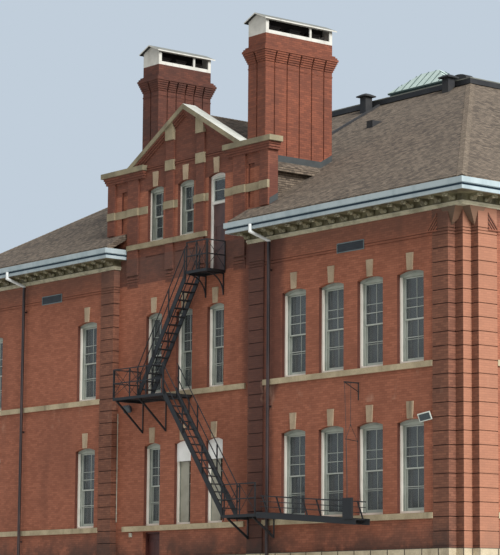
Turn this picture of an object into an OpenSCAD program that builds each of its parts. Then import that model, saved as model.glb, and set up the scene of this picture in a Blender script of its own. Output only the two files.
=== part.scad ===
// Late nineteenth century red brick schoolhouse with stone trim, hipped roof and iron fire escape.
// The origin lies on the ground under the middle of the plan; the front faces -Y.

/* [Plan] */
// Length of the front between the side walls
building_w = 26300; // [24000:50:30000]
// Depth between the front and back walls of the wings
building_d = 24000; // [22500:50:27000]
// Clear width of the middle bay between the two wings
bay_w = 7200; // [6900:10:7400]
// How far the middle bay stands back from the wings
bay_setback = 200; // [120:5:260]
// Thickness of the outer brick walls
wall_t = 450; // [380:5:500]
// Width of the grooved pier beside the middle bay
pier_w = 740; // [660:5:780]
// Width of a grooved corner pier along the front
corner_w = 660; // [600:5:720]
// Length of a corner pier along the side wall
corner_d = 1290; // [1200:10:1400]
// How far a pier stands proud of its wall
pier_proud = 40; // [20:1:60]
// Width of the inner step in a stepped corner
step_w = 310; // [280:5:340]
// Depth of the inner step in a stepped corner
step_d = 240; // [200:5:280]
// Width of the outer step in a stepped corner
outer_w = 250; // [220:5:280]
// Depth of the outer step in a stepped corner
outer_d = 320; // [280:5:360]

/* [Levels] */
// Top of the stone basement course above the ground
plinth_h = 1700; // [1500:10:1900]
// Top of the lower sill band
sill_low = 2700; // [2500:10:2900]
// Height from one storey's sill to the next
storey_h = 4270; // [4100:10:4500]
// Top of the wing walls, under the cornice
wall_top = 11260; // [11200:10:11300]
// Top of the gutter
gutter_top = 11890; // [11800:10:12200]
// Top of the attic sill band
attic_sill = 12010; // [11950:10:12300]
// Height of a sill band
sill_h = 170; // [120:5:220]
// How far a sill band stands proud of its wall
sill_proud = 60; // [40:2:80]
// Thickness of a timber floor with its ceiling
floor_t = 300; // [200:5:400]
// Height of a floor's top below its window sills
floor_below_sill = 800; // [700:10:900]
// Top of the attic floor
attic_floor_z = 10660; // [10600:10:10900]

/* [Windows] */
// Width of a wing window
win_w = 1120; // [900:5:1250]
// Height of a window from its sill to its crown
win_h = 2670; // [2400:10:2800]
// Rise of the shallow arch over a window
win_rise = 90; // [50:5:140]
// Brickwork between the pier beside the middle bay and the right wing's first window
wing_margin_in = 870; // [760:10:950]
// Brickwork between a wing's last window and the corner pier
wing_margin_out = 395; // [330:5:450]
// Distance from the left wing's inner pier to the middle of its first window
left_window_in = 830; // [760:10:950]
// Brickwork between a side wall's end window and the corner pier
side_margin = 560; // [400:10:700]
// Spacing of the windows in a side wall
side_pitch = 1735; // [1600:5:1800]
// Width of a middle bay window
bay_win_w = 860; // [700:5:950]
// Spacing of the middle bay windows
bay_pitch = 1640; // [1500:5:1750]
// Height of an attic window from its sill to its crown
attic_win_h = 1830; // [1600:10:1950]
// Depth of a window frame from front to back
frame_d = 120; // [80:5:160]
// Width of a window frame's members
frame_w = 70; // [50:2:100]
// How far a window frame stands back in its opening
reveal = 110; // [80:5:160]
// Thickness of the glass sheets
glass_t = 12; // [6:1:20]
// Width of a keystone at its foot
keystone_w = 220; // [180:5:260]
// Height of a keystone
keystone_h = 500; // [400:10:560]

/* [Brickwork] */
// Spacing of the grooves round a pier
groove_pitch = 398; // [320:1:430]
// Height of a groove
groove_h = 28; // [16:1:40]
// Depth of a groove
groove_d = 26; // [12:1:34]
// How far the corbels spread past the corners that they fill
corbel_reach = 280; // [200:10:320]
// How far the corbels stand proud of the piers at the top
corbel_proud = 40; // [20:2:60]
// Foot of the string courses under the cornice
string_z = 10490; // [10440:5:10520]
// Spacing of the string courses
string_pitch = 85; // [75:1:95]
// How far the strips and pilasters of the gable stand proud
strip_proud = 60; // [40:1:80]
// Width of a strip between the gable windows
strip_w = 420; // [360:5:480]
// Foot of the corbelled strips of the gable
strip_foot = 10580; // [10520:5:10620]
// Height of one corbelled course
course_h = 80; // [60:1:90]
// Foot of the stone band round the gable
band_z = 12990; // [12900:10:13100]
// Height of the stone band round the gable
band_h = 250; // [200:5:300]

/* [Roof] */
// Rise of the main roof for each unit of run
roof_slope = 0.6; // [0.55:0.01:0.65]
// Thickness of the roof boards and shingles
roof_t = 160; // [100:5:220]
// Overhang of the eaves beyond the walls
eave = 720; // [650:5:760]
// Height of the mould between the walls and the eaves
bed_h = 110; // [80:5:130]
// Height of the soffit under the eaves
soffit_z = 11560; // [11530:5:11580]
// Thickness of the fascia board
fascia_t = 70; // [40:2:80]
// Height of the fascia board
fascia_h = 110; // [90:5:130]
// Thickness of the gutter's metal with its beads
gutter_t = 24; // [16:1:30]
// Height from the fascia board to the gutter's underside
gutter_seat = 40; // [20:2:60]
// How far the mould under the eaves stands proud of the walls
bed_out = 110; // [80:2:130]
// How far the frieze behind the brackets stands proud of the walls
frieze = 70; // [40:2:80]
// Radius of a downpipe
pipe_r = 52; // [40:1:60]
// Spacing of the brackets under the eaves
bracket_pitch = 560; // [450:10:700]
// Width of a bracket under the eaves
bracket_w = 150; // [100:5:180]
// Width of the flat deck on top of the roof
deck_w = 9000; // [8000:50:10000]
// Height of the deck's edge
deck_edge_h = 210; // [150:5:300]
// Rise of the gable roof for each unit of run
gable_slope = 0.57; // [0.54:0.01:0.60]
// Ridge height of the gable roof
gable_ridge = 16100; // [16000:10:16300]
// Half width of the gable wall with its end piers
gable_half = 4300; // [4200:10:4400]
// Top of the gable wall's level shoulders, under the coping
shoulder_z = 14450; // [14400:10:14500]
// Distance from the middle to the foot of the sloping gable coping
rake_foot = 3050; // [2950:10:3150]
// Top of the gable wall at its peak
peak_z = 16170; // [16000:10:16300]
// Width of the rib that runs up the front slope
rib_w = 110; // [80:2:140]
// Height of the rib that runs up the front slope
rib_h = 70; // [50:2:100]
// Thickness of the gable wall
gable_t = 340; // [300:5:350]
// Thickness of the coping stones
coping_t = 170; // [120:5:200]
// How far the coping oversails the gable
coping_out = 180; // [160:5:200]

/* [Chimneys] */
// Width of a chimney along the front
chimney_w = 880; // [800:5:950]
// Depth of the right chimney
chimney_right_d = 2760; // [2500:10:2760]
// Depth of the left chimney
chimney_left_d = 2220; // [2000:10:2500]
// Depth of the string course below the top of a chimney
chimney_string = 1080; // [1000:10:1200]
// Width of a sunk groove in a chimney
flute_w = 60; // [40:2:80]
// Depth of a sunk groove in a chimney
flute_d = 40; // [20:2:60]
// How far the corbelled collar of a chimney stands out
collar_out = 150; // [100:5:180]
// Height of a weather cap up to its eaves
cap_h = 480; // [400:10:560]
// Rise of a weather cap's roof
cap_rise = 190; // [140:5:240]
// Height of a weather cap's bottom rail
cap_rail_h = 110; // [80:5:140]
// Overhang of a weather cap's roof
cap_eave = 110; // [80:5:140]
// Thickness of a weather cap's boards
cap_t = 40; // [30:2:60]
// Top of the right chimney's brickwork
chimney_right_top = 18110; // [17800:10:18400]
// Top of the left chimney's brickwork
chimney_left_top = 18330; // [18000:10:18600]

/* [Fire escape] */
// Clear width of a fire escape flight
flight_w = 560; // [500:5:620]
// Depth of the middle landing
landing_d = 1160; // [1100:5:1250]
// Top of the upper landing
landing_top_z = 10640; // [10600:5:10700]
// Top of the middle landing
landing_mid_z = 6800; // [6700:5:6900]
// Top of the lower landing
landing_low_z = 2840; // [2800:5:2900]
// Thickness of a landing
landing_t = 90; // [60:5:120]
// Width of a landing's rim
landing_rim = 60; // [40:2:90]
// Spacing of the slats of a landing
slat_pitch = 72; // [60:2:90]
// Thickness of the slats of a landing
slat_t = 25; // [16:1:30]
// Height of the railings
rail_h = 900; // [850:5:1000]
// Radius of the round bracing rods
brace_r = 9; // [6:1:12]
// Section of the rails and posts
bar = 34; // [26:1:44]
// Depth of a stair stringer
stringer_h = 180; // [150:5:220]
// Thickness of a stair stringer
stringer_t = 30; // [20:1:40]
// Length of the drop stair from its hinge to its free end
drop_len = 4450; // [4200:10:4500]
// Slope of the drop stair at rest, downwards from its hinge
drop_rest = 4.2; // [2:0.1:6]
// Height of the drop stair's top rail over its stringers
drop_rail_h = 460; // [420:5:500]
// Radius of the lifting ropes
rope_r = 7; // [5:0.5:9]
// Lean of the drop stair's posts, which is how far it swings down
drop_swing = 33; // [28:0.5:34]

/* [Side door] */
// Width of the low side doorway
door_w = 910; // [800:5:1000]
// Width of the well in the floor behind the side doorway
well_w = 2600; // [2000:10:3200]
// Depth of the well in the floor behind the side doorway
well_d = 3200; // [2400:10:3600]
// Height of the low side doorway
door_h = 2500; // [2300:5:2520]
// Thickness of the door leaf
door_t = 45; // [35:1:60]

/* [Hidden] */
$fn = 48;

brick = "#8a4a34";
stone = "#a89a78";
iron = "#1d2023";
white = "#d8dad2";
shingle = "#6f6154";

half_w = building_w / 2;
half_d = building_d / 2;
front_y = -half_d;
bay_half = bay_w / 2;
bay_y = front_y + bay_setback;
pier_half = half_w - outer_w - step_w;
sill_high = sill_low + storey_h;
first_z = sill_low - floor_below_sill;
second_z = sill_high - floor_below_sill;
plinth_out = 80;
plinth_t = wall_t + plinth_out;
slab_t = 150;
gap = 1;
seat = 0.3;
gutter_w = 120;
roof_foot = eave - gutter_w;
bay_eave_out = 430;
bay_eave = bay_eave_out / eave;
fascia_top = soffit_z + fascia_h;

wing_in = bay_half + pier_w;
wing_out = pier_half - corner_w;
win_pitch = (wing_out - wing_in - wing_margin_in - wing_margin_out - win_w) / 3;
wing_windows = [for (i = [0 : 3]) wing_in + wing_margin_in + win_w / 2 + i * win_pitch];
bay_windows = [for (i = [-1 : 1]) i * bay_pitch];
side_end = half_d - corner_d - side_margin - win_w / 2;

// Middle and width of each opening in a row, from left to right
wing_row = [for (x = wing_windows) [x, win_w]];
left_row = [[-wing_windows[3], win_w], [-wing_in - left_window_in, win_w]];
bay_row = [for (x = bay_windows) [x, bay_win_w]];
side_row = [for (x = concat([for (i = [0 : 3]) i * side_pitch - side_end], [-side_pitch / 2, side_pitch / 2],
    [for (i = [3 : -1 : 0]) side_end - i * side_pitch])) [x, win_w]];
back_row = concat([for (i = [3 : -1 : 0]) [-wing_windows[i], win_w]], bay_row, wing_row);
attic_head_z = attic_win_h - win_rise;
attic_door_x = bay_windows[2];
attic_door_left = attic_door_x - bay_win_w / 2;
attic_door_right = attic_door_x + bay_win_w / 2;
door_x = bay_windows[0];

// Top of the main roof at a distance in from the wall line
function roof_z(run) = gutter_top + roof_slope * (run + eave);
// Top of the gable roof at a distance from the ridge
function gable_z(x) = gable_ridge - gable_slope * abs(x);

roof_angle = atan(roof_slope);
deck_run = half_w - deck_w / 2;
deck_z = roof_z(deck_run);
eaves_box_top = roof_z(-roof_foot) - roof_t / cos(roof_angle);
deck_d = building_d - 2 * deck_run;
gable_run = (gable_ridge - gutter_top) / roof_slope - eave;
cheek_x = bay_half + 60;
cheek_t = 200;
gable_eave_x = cheek_x + 400;
gable_eave_y = (gable_z(gable_eave_x) - gutter_top) / roof_slope - eave;

// Outline of an opening with a shallow arched head, from its sill
module arch_opening(w, h, rise) {
    r = (w * w / 4 + rise * rise) / (2 * rise);
    low = max(h - r, 1);
    translate([-w / 2, 0]) square([w, low + 1]);
    intersection() {
        translate([-w / 2, low]) square([w, h - low]);
        translate([0, h - r]) circle(r = r, $fn = 96);
    }
}

// Stands a flat outline upright, facing -Y, with its back at depth t
module upright(t) {
    rotate([90, 0, 0]) translate([0, 0, -t]) linear_extrude(t) children();
}

// Window openings of one row, with their sills at height z
module windows_cut(row, z, h) {
    for (o = row) translate([o[0], z]) arch_opening(o[1], h, win_rise);
}

// Brickwork over a row of windows, with their arched heads cut in its lower edge
module head_band(x0, x1, row, sill, h, top) {
    difference() {
        translate([x0, sill + h - win_rise]) square([x1 - x0, top - sill - h + win_rise]);
        windows_cut(row, sill, h);
    }
}

// Brickwork between the windows of one row, up to the springing of their arches
module window_piers(x0, x1, row, sill, h) {
    edges = concat([x0], [for (o = row, s = [-1, 1]) o[0] + s * o[1] / 2], [x1]);
    for (i = [0 : len(row)]) translate([edges[2 * i], sill])
        square([edges[2 * i + 1] - edges[2 * i], h - win_rise]);
}

// Two sunk lines under the cornice
module string_cuts(x0, x1) {
    for (i = [0, 1]) translate([x0 - 1, -1, string_z + 30 + i * string_pitch])
        cube([x1 - x0 + 2, groove_d + 1, groove_h]);
}

// Wall of two storeys in three bands; the window piers between them are pieces of their own
module banded_wall(x0, x1, row) {
    difference() {
        upright(wall_t) {
            translate([x0, plinth_h]) square([x1 - x0, sill_low - plinth_h]);
            head_band(x0, x1, row, sill_low, win_h, sill_high);
            head_band(x0, x1, row, sill_high, win_h, wall_top);
        }
        string_cuts(x0, x1);
    }
}

module storey_piers(x0, x1, row) {
    upright(wall_t) for (z = [sill_low, sill_high]) window_piers(x0, x1, row, z, win_h);
}

// Places children on the four sides: the plain sides turn the front's own form
module on_right() { translate([half_w, 0, 0]) rotate([0, 0, 90]) children(); }
module on_left() { translate([-half_w, 0, 0]) rotate([0, 0, -90]) children(); }
module on_back() { translate([0, half_d, 0]) rotate([0, 0, 180]) children(); }
module on_front() { translate([0, front_y, 0]) children(); }

module right_wing_front() {
    color(brick) on_front() banded_wall(wing_in, wing_out, wing_row);
}

module left_wing_front() {
    color(brick) on_front() banded_wall(-wing_out, -wing_in, left_row);
}

// Wall between the wings, in bands as the wings are, with the side doorway beside its lowest window
module bay_front() {
    color(brick) translate([0, bay_y, 0]) upright(wall_t) {
        translate([-bay_half, plinth_h]) square([door_x - door_w / 2 + bay_half, sill_low - plinth_h]);
        translate([door_x + door_w / 2, plinth_h])
            square([bay_half - door_x - door_w / 2, sill_low - plinth_h]);
        translate([door_x - door_w / 2 + gap, door_h]) square([door_w - 2 * gap, sill_low - door_h]);
        head_band(-bay_half, bay_half, bay_row, sill_low, win_h, sill_high);
        head_band(-bay_half, bay_half, bay_row, sill_high, win_h, attic_floor_z);
    }
}

// Height of the gable's brickwork under its coping
function rake_z(x) = peak_z - (peak_z - shoulder_z) * abs(x) / rake_foot;
// Distance from the middle at which a line under the coping comes down to the top of the shoulder stones
function rake_end(below) = rake_foot * (1 - (coping_t + below) / (peak_z - shoulder_z));
shoulder_top = shoulder_z + coping_t;

// Sunk panels between the pilasters of the gable, and the sunk bars under its windows
slot_size = [300, strip_proud + 1, 1400];
slot_in = 480;
bar_size = [1040, groove_d + 1, groove_h + 10];
bar_drop = 320;

module gable_slots() {
    for (s = [-1, 1]) translate([s * (gable_half - strip_w - slot_in) - slot_size[0] / 2, bay_y - 1,
            roof_z(bay_setback) + 40])
        cube(slot_size);
}

// Gable wall on top of the middle bay, with its lower parts beside the fire door and its pediment
module gable_front() {
    color(brick) difference() {
        translate([0, bay_y, 0]) upright(gable_t) {
            polygon([[-bay_half, attic_floor_z], [attic_door_left, attic_floor_z], [attic_door_left, attic_sill],
                [-gable_half, attic_sill], [-gable_half, wall_top], [-bay_half, wall_top]]);
            polygon([[attic_door_right, attic_floor_z], [bay_half, attic_floor_z], [bay_half, wall_top],
                [gable_half, wall_top], [gable_half, attic_sill], [attic_door_right, attic_sill]]);
            difference() {
                polygon([[-gable_half, attic_sill + attic_head_z], [gable_half, attic_sill + attic_head_z],
                    [gable_half, shoulder_z], [rake_foot, shoulder_z], [rake_foot, shoulder_top],
                    [rake_end(0), shoulder_top], [0, peak_z], [-rake_end(0), shoulder_top],
                    [-rake_foot, shoulder_top], [-rake_foot, shoulder_z], [-gable_half, shoulder_z]]);
                windows_cut(bay_row, attic_sill, attic_win_h);
            }
        }
        gable_slots();
        for (x = [bay_windows[0], bay_windows[1]])
            translate([x - bar_size[0] / 2, bay_y - 1, attic_sill - sill_h - bar_drop]) cube(bar_size);
    }
}

// Corbelled foot of a strip, each course standing out less than the one above
module strip_end(x, w) {
    translate([x - w / 2, bay_y - 10, strip_foot]) cube([w, 10, 4.5 * course_h + 40]);
    for (i = [1 : 4]) translate([x - w / 2, bay_y - strip_proud * i / 5, strip_foot + (i - 1) * 1.15 * course_h])
        cube([w, strip_proud * i / 5, course_h * 0.8]);
}

// Upright strip on the gable between two heights
module strip(x, w, z0, z1) {
    translate([x - w / 2, bay_y - strip_proud, z0]) cube([w, strip_proud, z1 - z0]);
}

inner_pilaster_w = 600;
inner_pilaster_out = 450;
inner_pilaster = [bay_half - inner_pilaster_out - inner_pilaster_w, bay_half - inner_pilaster_out];
shoulder_lap = 410;
shoulder_in = inner_pilaster[0] - shoulder_lap;
outer_pilaster_x = gable_half - strip_w / 2;
block_down = 190;
block_up = 150;
block_low = shoulder_z - block_down;
block_top = shoulder_z + block_up;
rake_block_h = 330;
rake_block_low = rake_z(bay_pitch / 2 + strip_w / 2) - rake_block_h;
mould_z = shoulder_z - 3 * course_h;

// Brick strips, pilasters, corbelled courses and raking courses on the face of the gable
module gable_trim() {
    strip_top = strip_foot + 4.6 * course_h + 40;
    mid = (inner_pilaster[0] + inner_pilaster[1]) / 2;
    color(brick) {
        for (s = [-1, 1]) {
            x = s * bay_pitch / 2;
            strip_end(x, strip_w);
            strip(x, strip_w, strip_top, attic_sill - sill_h - gap);
            strip(x, strip_w, attic_sill + gap, band_z - gap);
            strip(x, strip_w, band_z + band_h + gap, block_low - gap);
            strip(x, strip_w, block_top + gap, rake_block_low - gap);
            strip_end(s * mid, inner_pilaster_w);
            strip(s * mid, inner_pilaster_w, strip_top, attic_sill - sill_h - gap);
            strip(s * mid, inner_pilaster_w, attic_sill + gap, band_z - gap);
            strip(s * mid, inner_pilaster_w, band_z + band_h + gap, mould_z - gap);
            strip(s * outer_pilaster_x, strip_w, roof_z(bay_setback) + 20, band_z - gap);
            strip(s * outer_pilaster_x, strip_w, band_z + band_h + gap, mould_z - gap);
        }
        for (s = [0, 1]) mirror([s, 0, 0]) {
            shoulder_moulds();
            raking_courses();
            for (i = [0, 1]) for (r = [[gap, bay_pitch / 2 - strip_w / 2 - 20],
                    [bay_pitch / 2 + strip_w / 2 + 20, shoulder_in - gap]])
                translate([r[0], bay_y - 30, shoulder_z - 10 + i * 70]) cube([r[1] - r[0], 30, 35]);
        }
    }
}

// Moulded courses under the stones of one shoulder
module shoulder_moulds() {
    for (i = [0 : 2]) {
        out = strip_proud + 25 + i * 30;
        translate([0, bay_y, mould_z + i * course_h]) linear_extrude(course_h + (i < 2 ? 1 : 0))
            polygon([[shoulder_in + 90 - i * 30, -out], [gable_half + out, -out], [gable_half + out, gable_t],
                [gable_half, gable_t], [gable_half, 0], [shoulder_in + 90 - i * 30, 0]]);
    }
}

// Corbelled courses up one rake, stopped either side of the stone block
module raking_courses() {
    difference() {
        for (i = [0 : 2]) translate([0, bay_y - coping_out + 40 + i * 45, 0]) upright(coping_out - 40 - i * 45)
            polygon([[gap, rake_z(0) - 70 * i], [rake_end(70 * i), shoulder_top],
                [rake_end(70 * (i + 1)), shoulder_top], [gap, rake_z(0) - 70 * (i + 1)]]);
        translate([bay_pitch / 2 - strip_w / 2 - 20, bay_y - 1000, shoulder_z]) cube([strip_w + 40, 1001, 3000]);
    }
}

// Clad side walls of the attic, between the gable wall and the main roof
module gable_cheeks() {
    y0 = bay_setback + gable_t;
    color(shingle) for (s = [-1, 1]) translate([s > 0 ? cheek_x : -cheek_x - cheek_t, front_y, 0])
        rotate([90, 0, 90]) linear_extrude(cheek_t)
            polygon([[y0, attic_floor_z], [gable_eave_y, attic_floor_z],
                [gable_eave_y, gable_z(cheek_x + cheek_t) - roof_t],
                [y0, gable_z(cheek_x + cheek_t) - roof_t]]);
}

module side_wall() { banded_wall(-half_d + corner_d, half_d - corner_d, side_row); }

module right_wall() { color(brick) on_right() side_wall(); }

module left_wall() { color(brick) on_left() side_wall(); }

module back_wall() { color(brick) on_back() banded_wall(-wing_out, wing_out, back_row); }

module front_window_piers() {
    color(brick) {
        on_front() {
            storey_piers(wing_in, wing_out, wing_row);
            storey_piers(-wing_out, -wing_in, left_row);
        }
        translate([0, bay_y, 0]) storey_piers(-bay_half, bay_half, bay_row);
        difference() {
            translate([0, bay_y, 0]) upright(gable_t)
                window_piers(-gable_half, gable_half, bay_row, attic_sill, attic_win_h);
            gable_slots();
        }
    }
}

module side_window_piers() {
    color(brick) {
        on_right() storey_piers(-half_d + corner_d, half_d - corner_d, side_row);
        on_left() storey_piers(-half_d + corner_d, half_d - corner_d, side_row);
    }
}

module back_window_piers() {
    color(brick) on_back() storey_piers(-wing_out, wing_out, back_row);
}

// Plan of a stepped outer corner pier, for the front right corner
module corner_plan(out = 0) {
    side = half_w + pier_proud;
    polygon([[wing_out, -pier_proud - out], [pier_half + out, -pier_proud - out],
        [pier_half + out, step_d - out], [pier_half + step_w + out, step_d - out],
        [pier_half + step_w + out, step_d + outer_d - out], [side + out, step_d + outer_d - out],
        [side + out, corner_d], [half_w - wall_t, corner_d], [half_w - wall_t, wall_t], [wing_out, wall_t]]);
}

module at_corners() {
    for (sx = [0, 1], sy = [0, 1]) mirror([sx, 0, 0]) mirror([0, sy, 0])
        translate([0, front_y, 0]) children();
}

// Heights of the string courses round a pier, and of the grooves below them
pier_grooves = concat([for (i = [0 : 2]) string_z + i * string_pitch],
    [for (z = string_z + 20 - groove_pitch; z > plinth_h + groove_pitch / 2; z = z - groove_pitch) z]);

// Inverted pyramid from a point under the cornice to the rectangle between two corners at the wall's top
module corbel(foot, low, high) {
    z = string_z + 3 * string_pitch;
    intersection() {
        translate([0, low[1] - 1, 0]) upright(high[1] - low[1] + 2)
            polygon([[foot[0], z], [high[0], wall_top], [low[0], wall_top]]);
        translate([low[0] - 1, 0, 0]) rotate([90, 0, 90]) linear_extrude(high[0] - low[0] + 2)
            polygon([[foot[1], z], [high[1], wall_top], [low[1], wall_top]]);
    }
}

module corner_pier() {
    x = pier_half + step_w;
    y = step_d + outer_d;
    difference() {
        union() {
            translate([0, 0, plinth_h]) linear_extrude(wall_top - plinth_h) corner_plan();
            corbel([pier_half, step_d * 0.4], [pier_half - corbel_reach, -pier_proud - corbel_proud],
                [x + corbel_proud, step_d + corbel_reach]);
            corbel([x + outer_w * 0.6, y], [x - corbel_reach, step_d - corbel_proud],
                [half_w + pier_proud + corbel_proud, y + corbel_reach]);
        }
        for (z = pier_grooves) translate([0, 0, z]) linear_extrude(groove_h) difference() {
            translate([wing_out - 1, -wall_t]) square([half_w - wing_out + wall_t, corner_d + wall_t - 1]);
            corner_plan(-groove_d);
        }
    }
}

// Pier beside the middle bay; its grooves turn the corner into the bay
module bay_pier() {
    difference() {
        translate([bay_half, -pier_proud, plinth_h]) cube([pier_w, wall_t + pier_proud, wall_top - plinth_h]);
        for (z = pier_grooves) translate([bay_half - 1, -pier_proud - 1, z]) {
            cube([pier_w + 2, groove_d + 1, groove_h]);
            cube([groove_d + 1, bay_setback + pier_proud + 1, groove_h]);
        }
    }
}

// Grooved brick piers at the outer corners and beside the middle bay
module wing_piers() {
    color(brick) {
        at_corners() corner_pier();
        on_front() for (s = [0, 1]) mirror([s, 0, 0]) bay_pier();
    }
}

module plinth_front() {
    color(stone) {
        for (s = [0, 1]) mirror([s, 0, 0])
            translate([bay_half, front_y - plinth_out, 0]) cube([wing_out - bay_half, plinth_t, plinth_h]);
        translate([door_x + door_w / 2, bay_y - plinth_out, 0])
            cube([bay_half - door_x - door_w / 2 - gap, plinth_t, plinth_h]);
        translate([-bay_half + gap, bay_y - plinth_out, 0])
            cube([bay_half + door_x - door_w / 2 - gap, plinth_t, plinth_h]);
    }
}

module plinth_sides() {
    color(stone) {
        for (s = [0, 1]) mirror([s, 0, 0]) translate([half_w - wall_t, front_y + corner_d + gap, 0])
            cube([plinth_t, building_d - 2 * corner_d - 2 * gap, plinth_h]);
        at_corners() linear_extrude(plinth_h) corner_plan(plinth_out);
    }
}

module plinth_back() {
    color(stone) translate([-wing_out, half_d - wall_t, 0]) cube([2 * wing_out, plinth_t, plinth_h]);
}

// Plan inside the outer walls
module inside_plan() {
    difference() {
        translate([-half_w + wall_t, front_y + wall_t])
            square([building_w - 2 * wall_t, building_d - 2 * wall_t]);
        translate([-bay_half, front_y]) square([bay_w, wall_t + bay_setback]);
    }
}

module floor_slab(z, t) { translate([0, 0, z - t]) linear_extrude(t) inside_plan(); }

module ground_floor() { color(stone) floor_slab(slab_t, slab_t); }
// The side doorway is taller than the space under this floor, so a well is left behind it
module first_floor() {
    color("#8d7350") difference() {
        floor_slab(first_z, floor_t);
        translate([door_x - well_w / 2, bay_y, first_z - 2 * floor_t])
            cube([well_w, wall_t + well_d, 3 * floor_t]);
    }
}
module second_floor() { color("#8d7350") floor_slab(second_z, floor_t); }
module attic_floor() { color("#8d7350") floor_slab(attic_floor_z, floor_t); }

// One roof slope over a side that is span long, mitred at the hips
module slope(span) {
    foot = span / 2 + roof_foot;
    intersection() {
        translate([-foot, 0, roof_z(0)]) rotate([roof_angle, 0, 0])
            translate([0, -2 * eave, -roof_t]) cube([2 * foot, 4 * eave + deck_run / cos(roof_angle), roof_t]);
        linear_extrude(deck_z + 1000) polygon([[-foot + gap, -roof_foot], [foot - gap, -roof_foot],
            [foot - gap - deck_run - roof_foot, deck_run], [-foot + gap + deck_run + roof_foot, deck_run]]);
    }
}

// Solid under the front slope's upper face, down to a depth
module slope_block(h) {
    translate([-half_w, -eave, gutter_top]) rotate([roof_angle, 0, 0]) translate([0, 0, -h])
        cube([building_w, (deck_run + eave) / cos(roof_angle), h]);
}

// The space that the gable and its roof take out of the front slope
module gable_gap() {
    y0 = bay_setback;
    y1 = bay_setback + gable_t;
    inner_x = bay_half - roof_foot * bay_eave;
    linear_extrude(30000) polygon([[-inner_x, -2000], [inner_x, -2000], [inner_x, y0], [gable_half, y0],
        [gable_half, y1], [cheek_x + cheek_t, y1], [cheek_x + cheek_t, gable_eave_y],
        [gable_eave_x, gable_eave_y], [0, gable_run], [-gable_eave_x, gable_eave_y],
        [-cheek_x - cheek_t, gable_eave_y], [-cheek_x - cheek_t, y1], [-gable_half, y1],
        [-gable_half, y0], [-inner_x, y0]]);
}

module roof_front() {
    color(shingle) on_front() difference() {
        slope(building_w);
        gable_gap();
        for (s = [0, 1]) mirror([s, 0, 0]) chimney_hole(s == 0);
    }
}

module roof_right() { color(shingle) on_right() slope(building_d); }
module roof_left() { color(shingle) on_left() slope(building_d); }
module roof_back() { color(shingle) on_back() slope(building_w); }

// Flat deck with a dark metal edge
module roof_deck() {
    color(iron) translate([-deck_w / 2 - 60, -deck_d / 2 - 60, deck_z])
        cube([deck_w + 120, deck_d + 120, deck_edge_h]);
}

// Two slopes behind the gable, cut back to the front slope, round both chimneys
module gable_roof() {
    y0 = bay_setback + gable_t;
    color(shingle) on_front() difference() {
        rotate([90, 0, 0]) translate([0, 0, -gable_run]) linear_extrude(gable_run - y0)
            polygon([[-gable_eave_x, gable_z(gable_eave_x)], [0, gable_ridge],
                [gable_eave_x, gable_z(gable_eave_x)],
                [gable_eave_x, gable_z(gable_eave_x) - roof_t],
                [0, gable_ridge - roof_t], [-gable_eave_x, gable_z(gable_eave_x) - roof_t]]);
        slope_block(8000);
        for (s = [0, 1]) mirror([s, 0, 0]) chimney_hole(s == 0);
    }
}

chimney_x = bay_half + 50 - chimney_w;
chimney_back = 3300;
cap_slope = cap_rise / (chimney_w / 2);
flute_drop = 580;
flute_margin = 360;
flute_cut = 500;
collar_drop = 900;

module chimney_hole(right) {
    d = right ? chimney_right_d : chimney_left_d;
    translate([chimney_x - 5, chimney_back - d - 5, attic_floor_z]) cube([chimney_w + 10, d + 10, 9000]);
}

// Chimney shaft, standing on the attic floor behind the gable, with sunk grooves and a corbelled collar
module chimney(d, top) {
    flute_h = top - flute_drop - wall_top;
    difference() {
        translate([chimney_x, chimney_back - d, 0]) {
            translate([0, 0, attic_floor_z]) cube([chimney_w, d, top - attic_floor_z]);
            chimney_ring(d, 12, top - chimney_string, 36);
            for (i = [0 : 4]) chimney_ring(d, collar_out * (i + 1) / 6, top - collar_drop + i * 68, 69);
            for (r = [[1, 560, 71], [0.8, 490, 61], [0.5, 430, 60]])
                chimney_ring(d, collar_out * r[0], top - r[1], r[2]);
        }
        for (i = [-2 : 2], x = [chimney_x + chimney_w - flute_d, chimney_x + flute_d - flute_cut])
            translate([x, chimney_back - d / 2 + i * (d - 2 * flute_margin) / 4 - flute_w / 2, wall_top])
                cube([flute_cut, flute_w, flute_h]);
        for (y = [chimney_back - d + flute_d - flute_cut, chimney_back - flute_d])
            translate([chimney_x + chimney_w / 2 - flute_w / 2, y, wall_top]) cube([flute_w, flute_cut, flute_h]);
    }
}

// Course of bricks standing out all round a chimney
module chimney_ring(d, out, z, h) {
    translate([-out, -out, z]) cube([chimney_w + 2 * out, d + 2 * out, h]);
}

module chimney_right() { color(brick) on_front() chimney(chimney_right_d, chimney_right_top); }
module chimney_left() {
    color(brick) on_front() mirror([1, 0, 0]) chimney(chimney_left_d, chimney_left_top);
}

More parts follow.
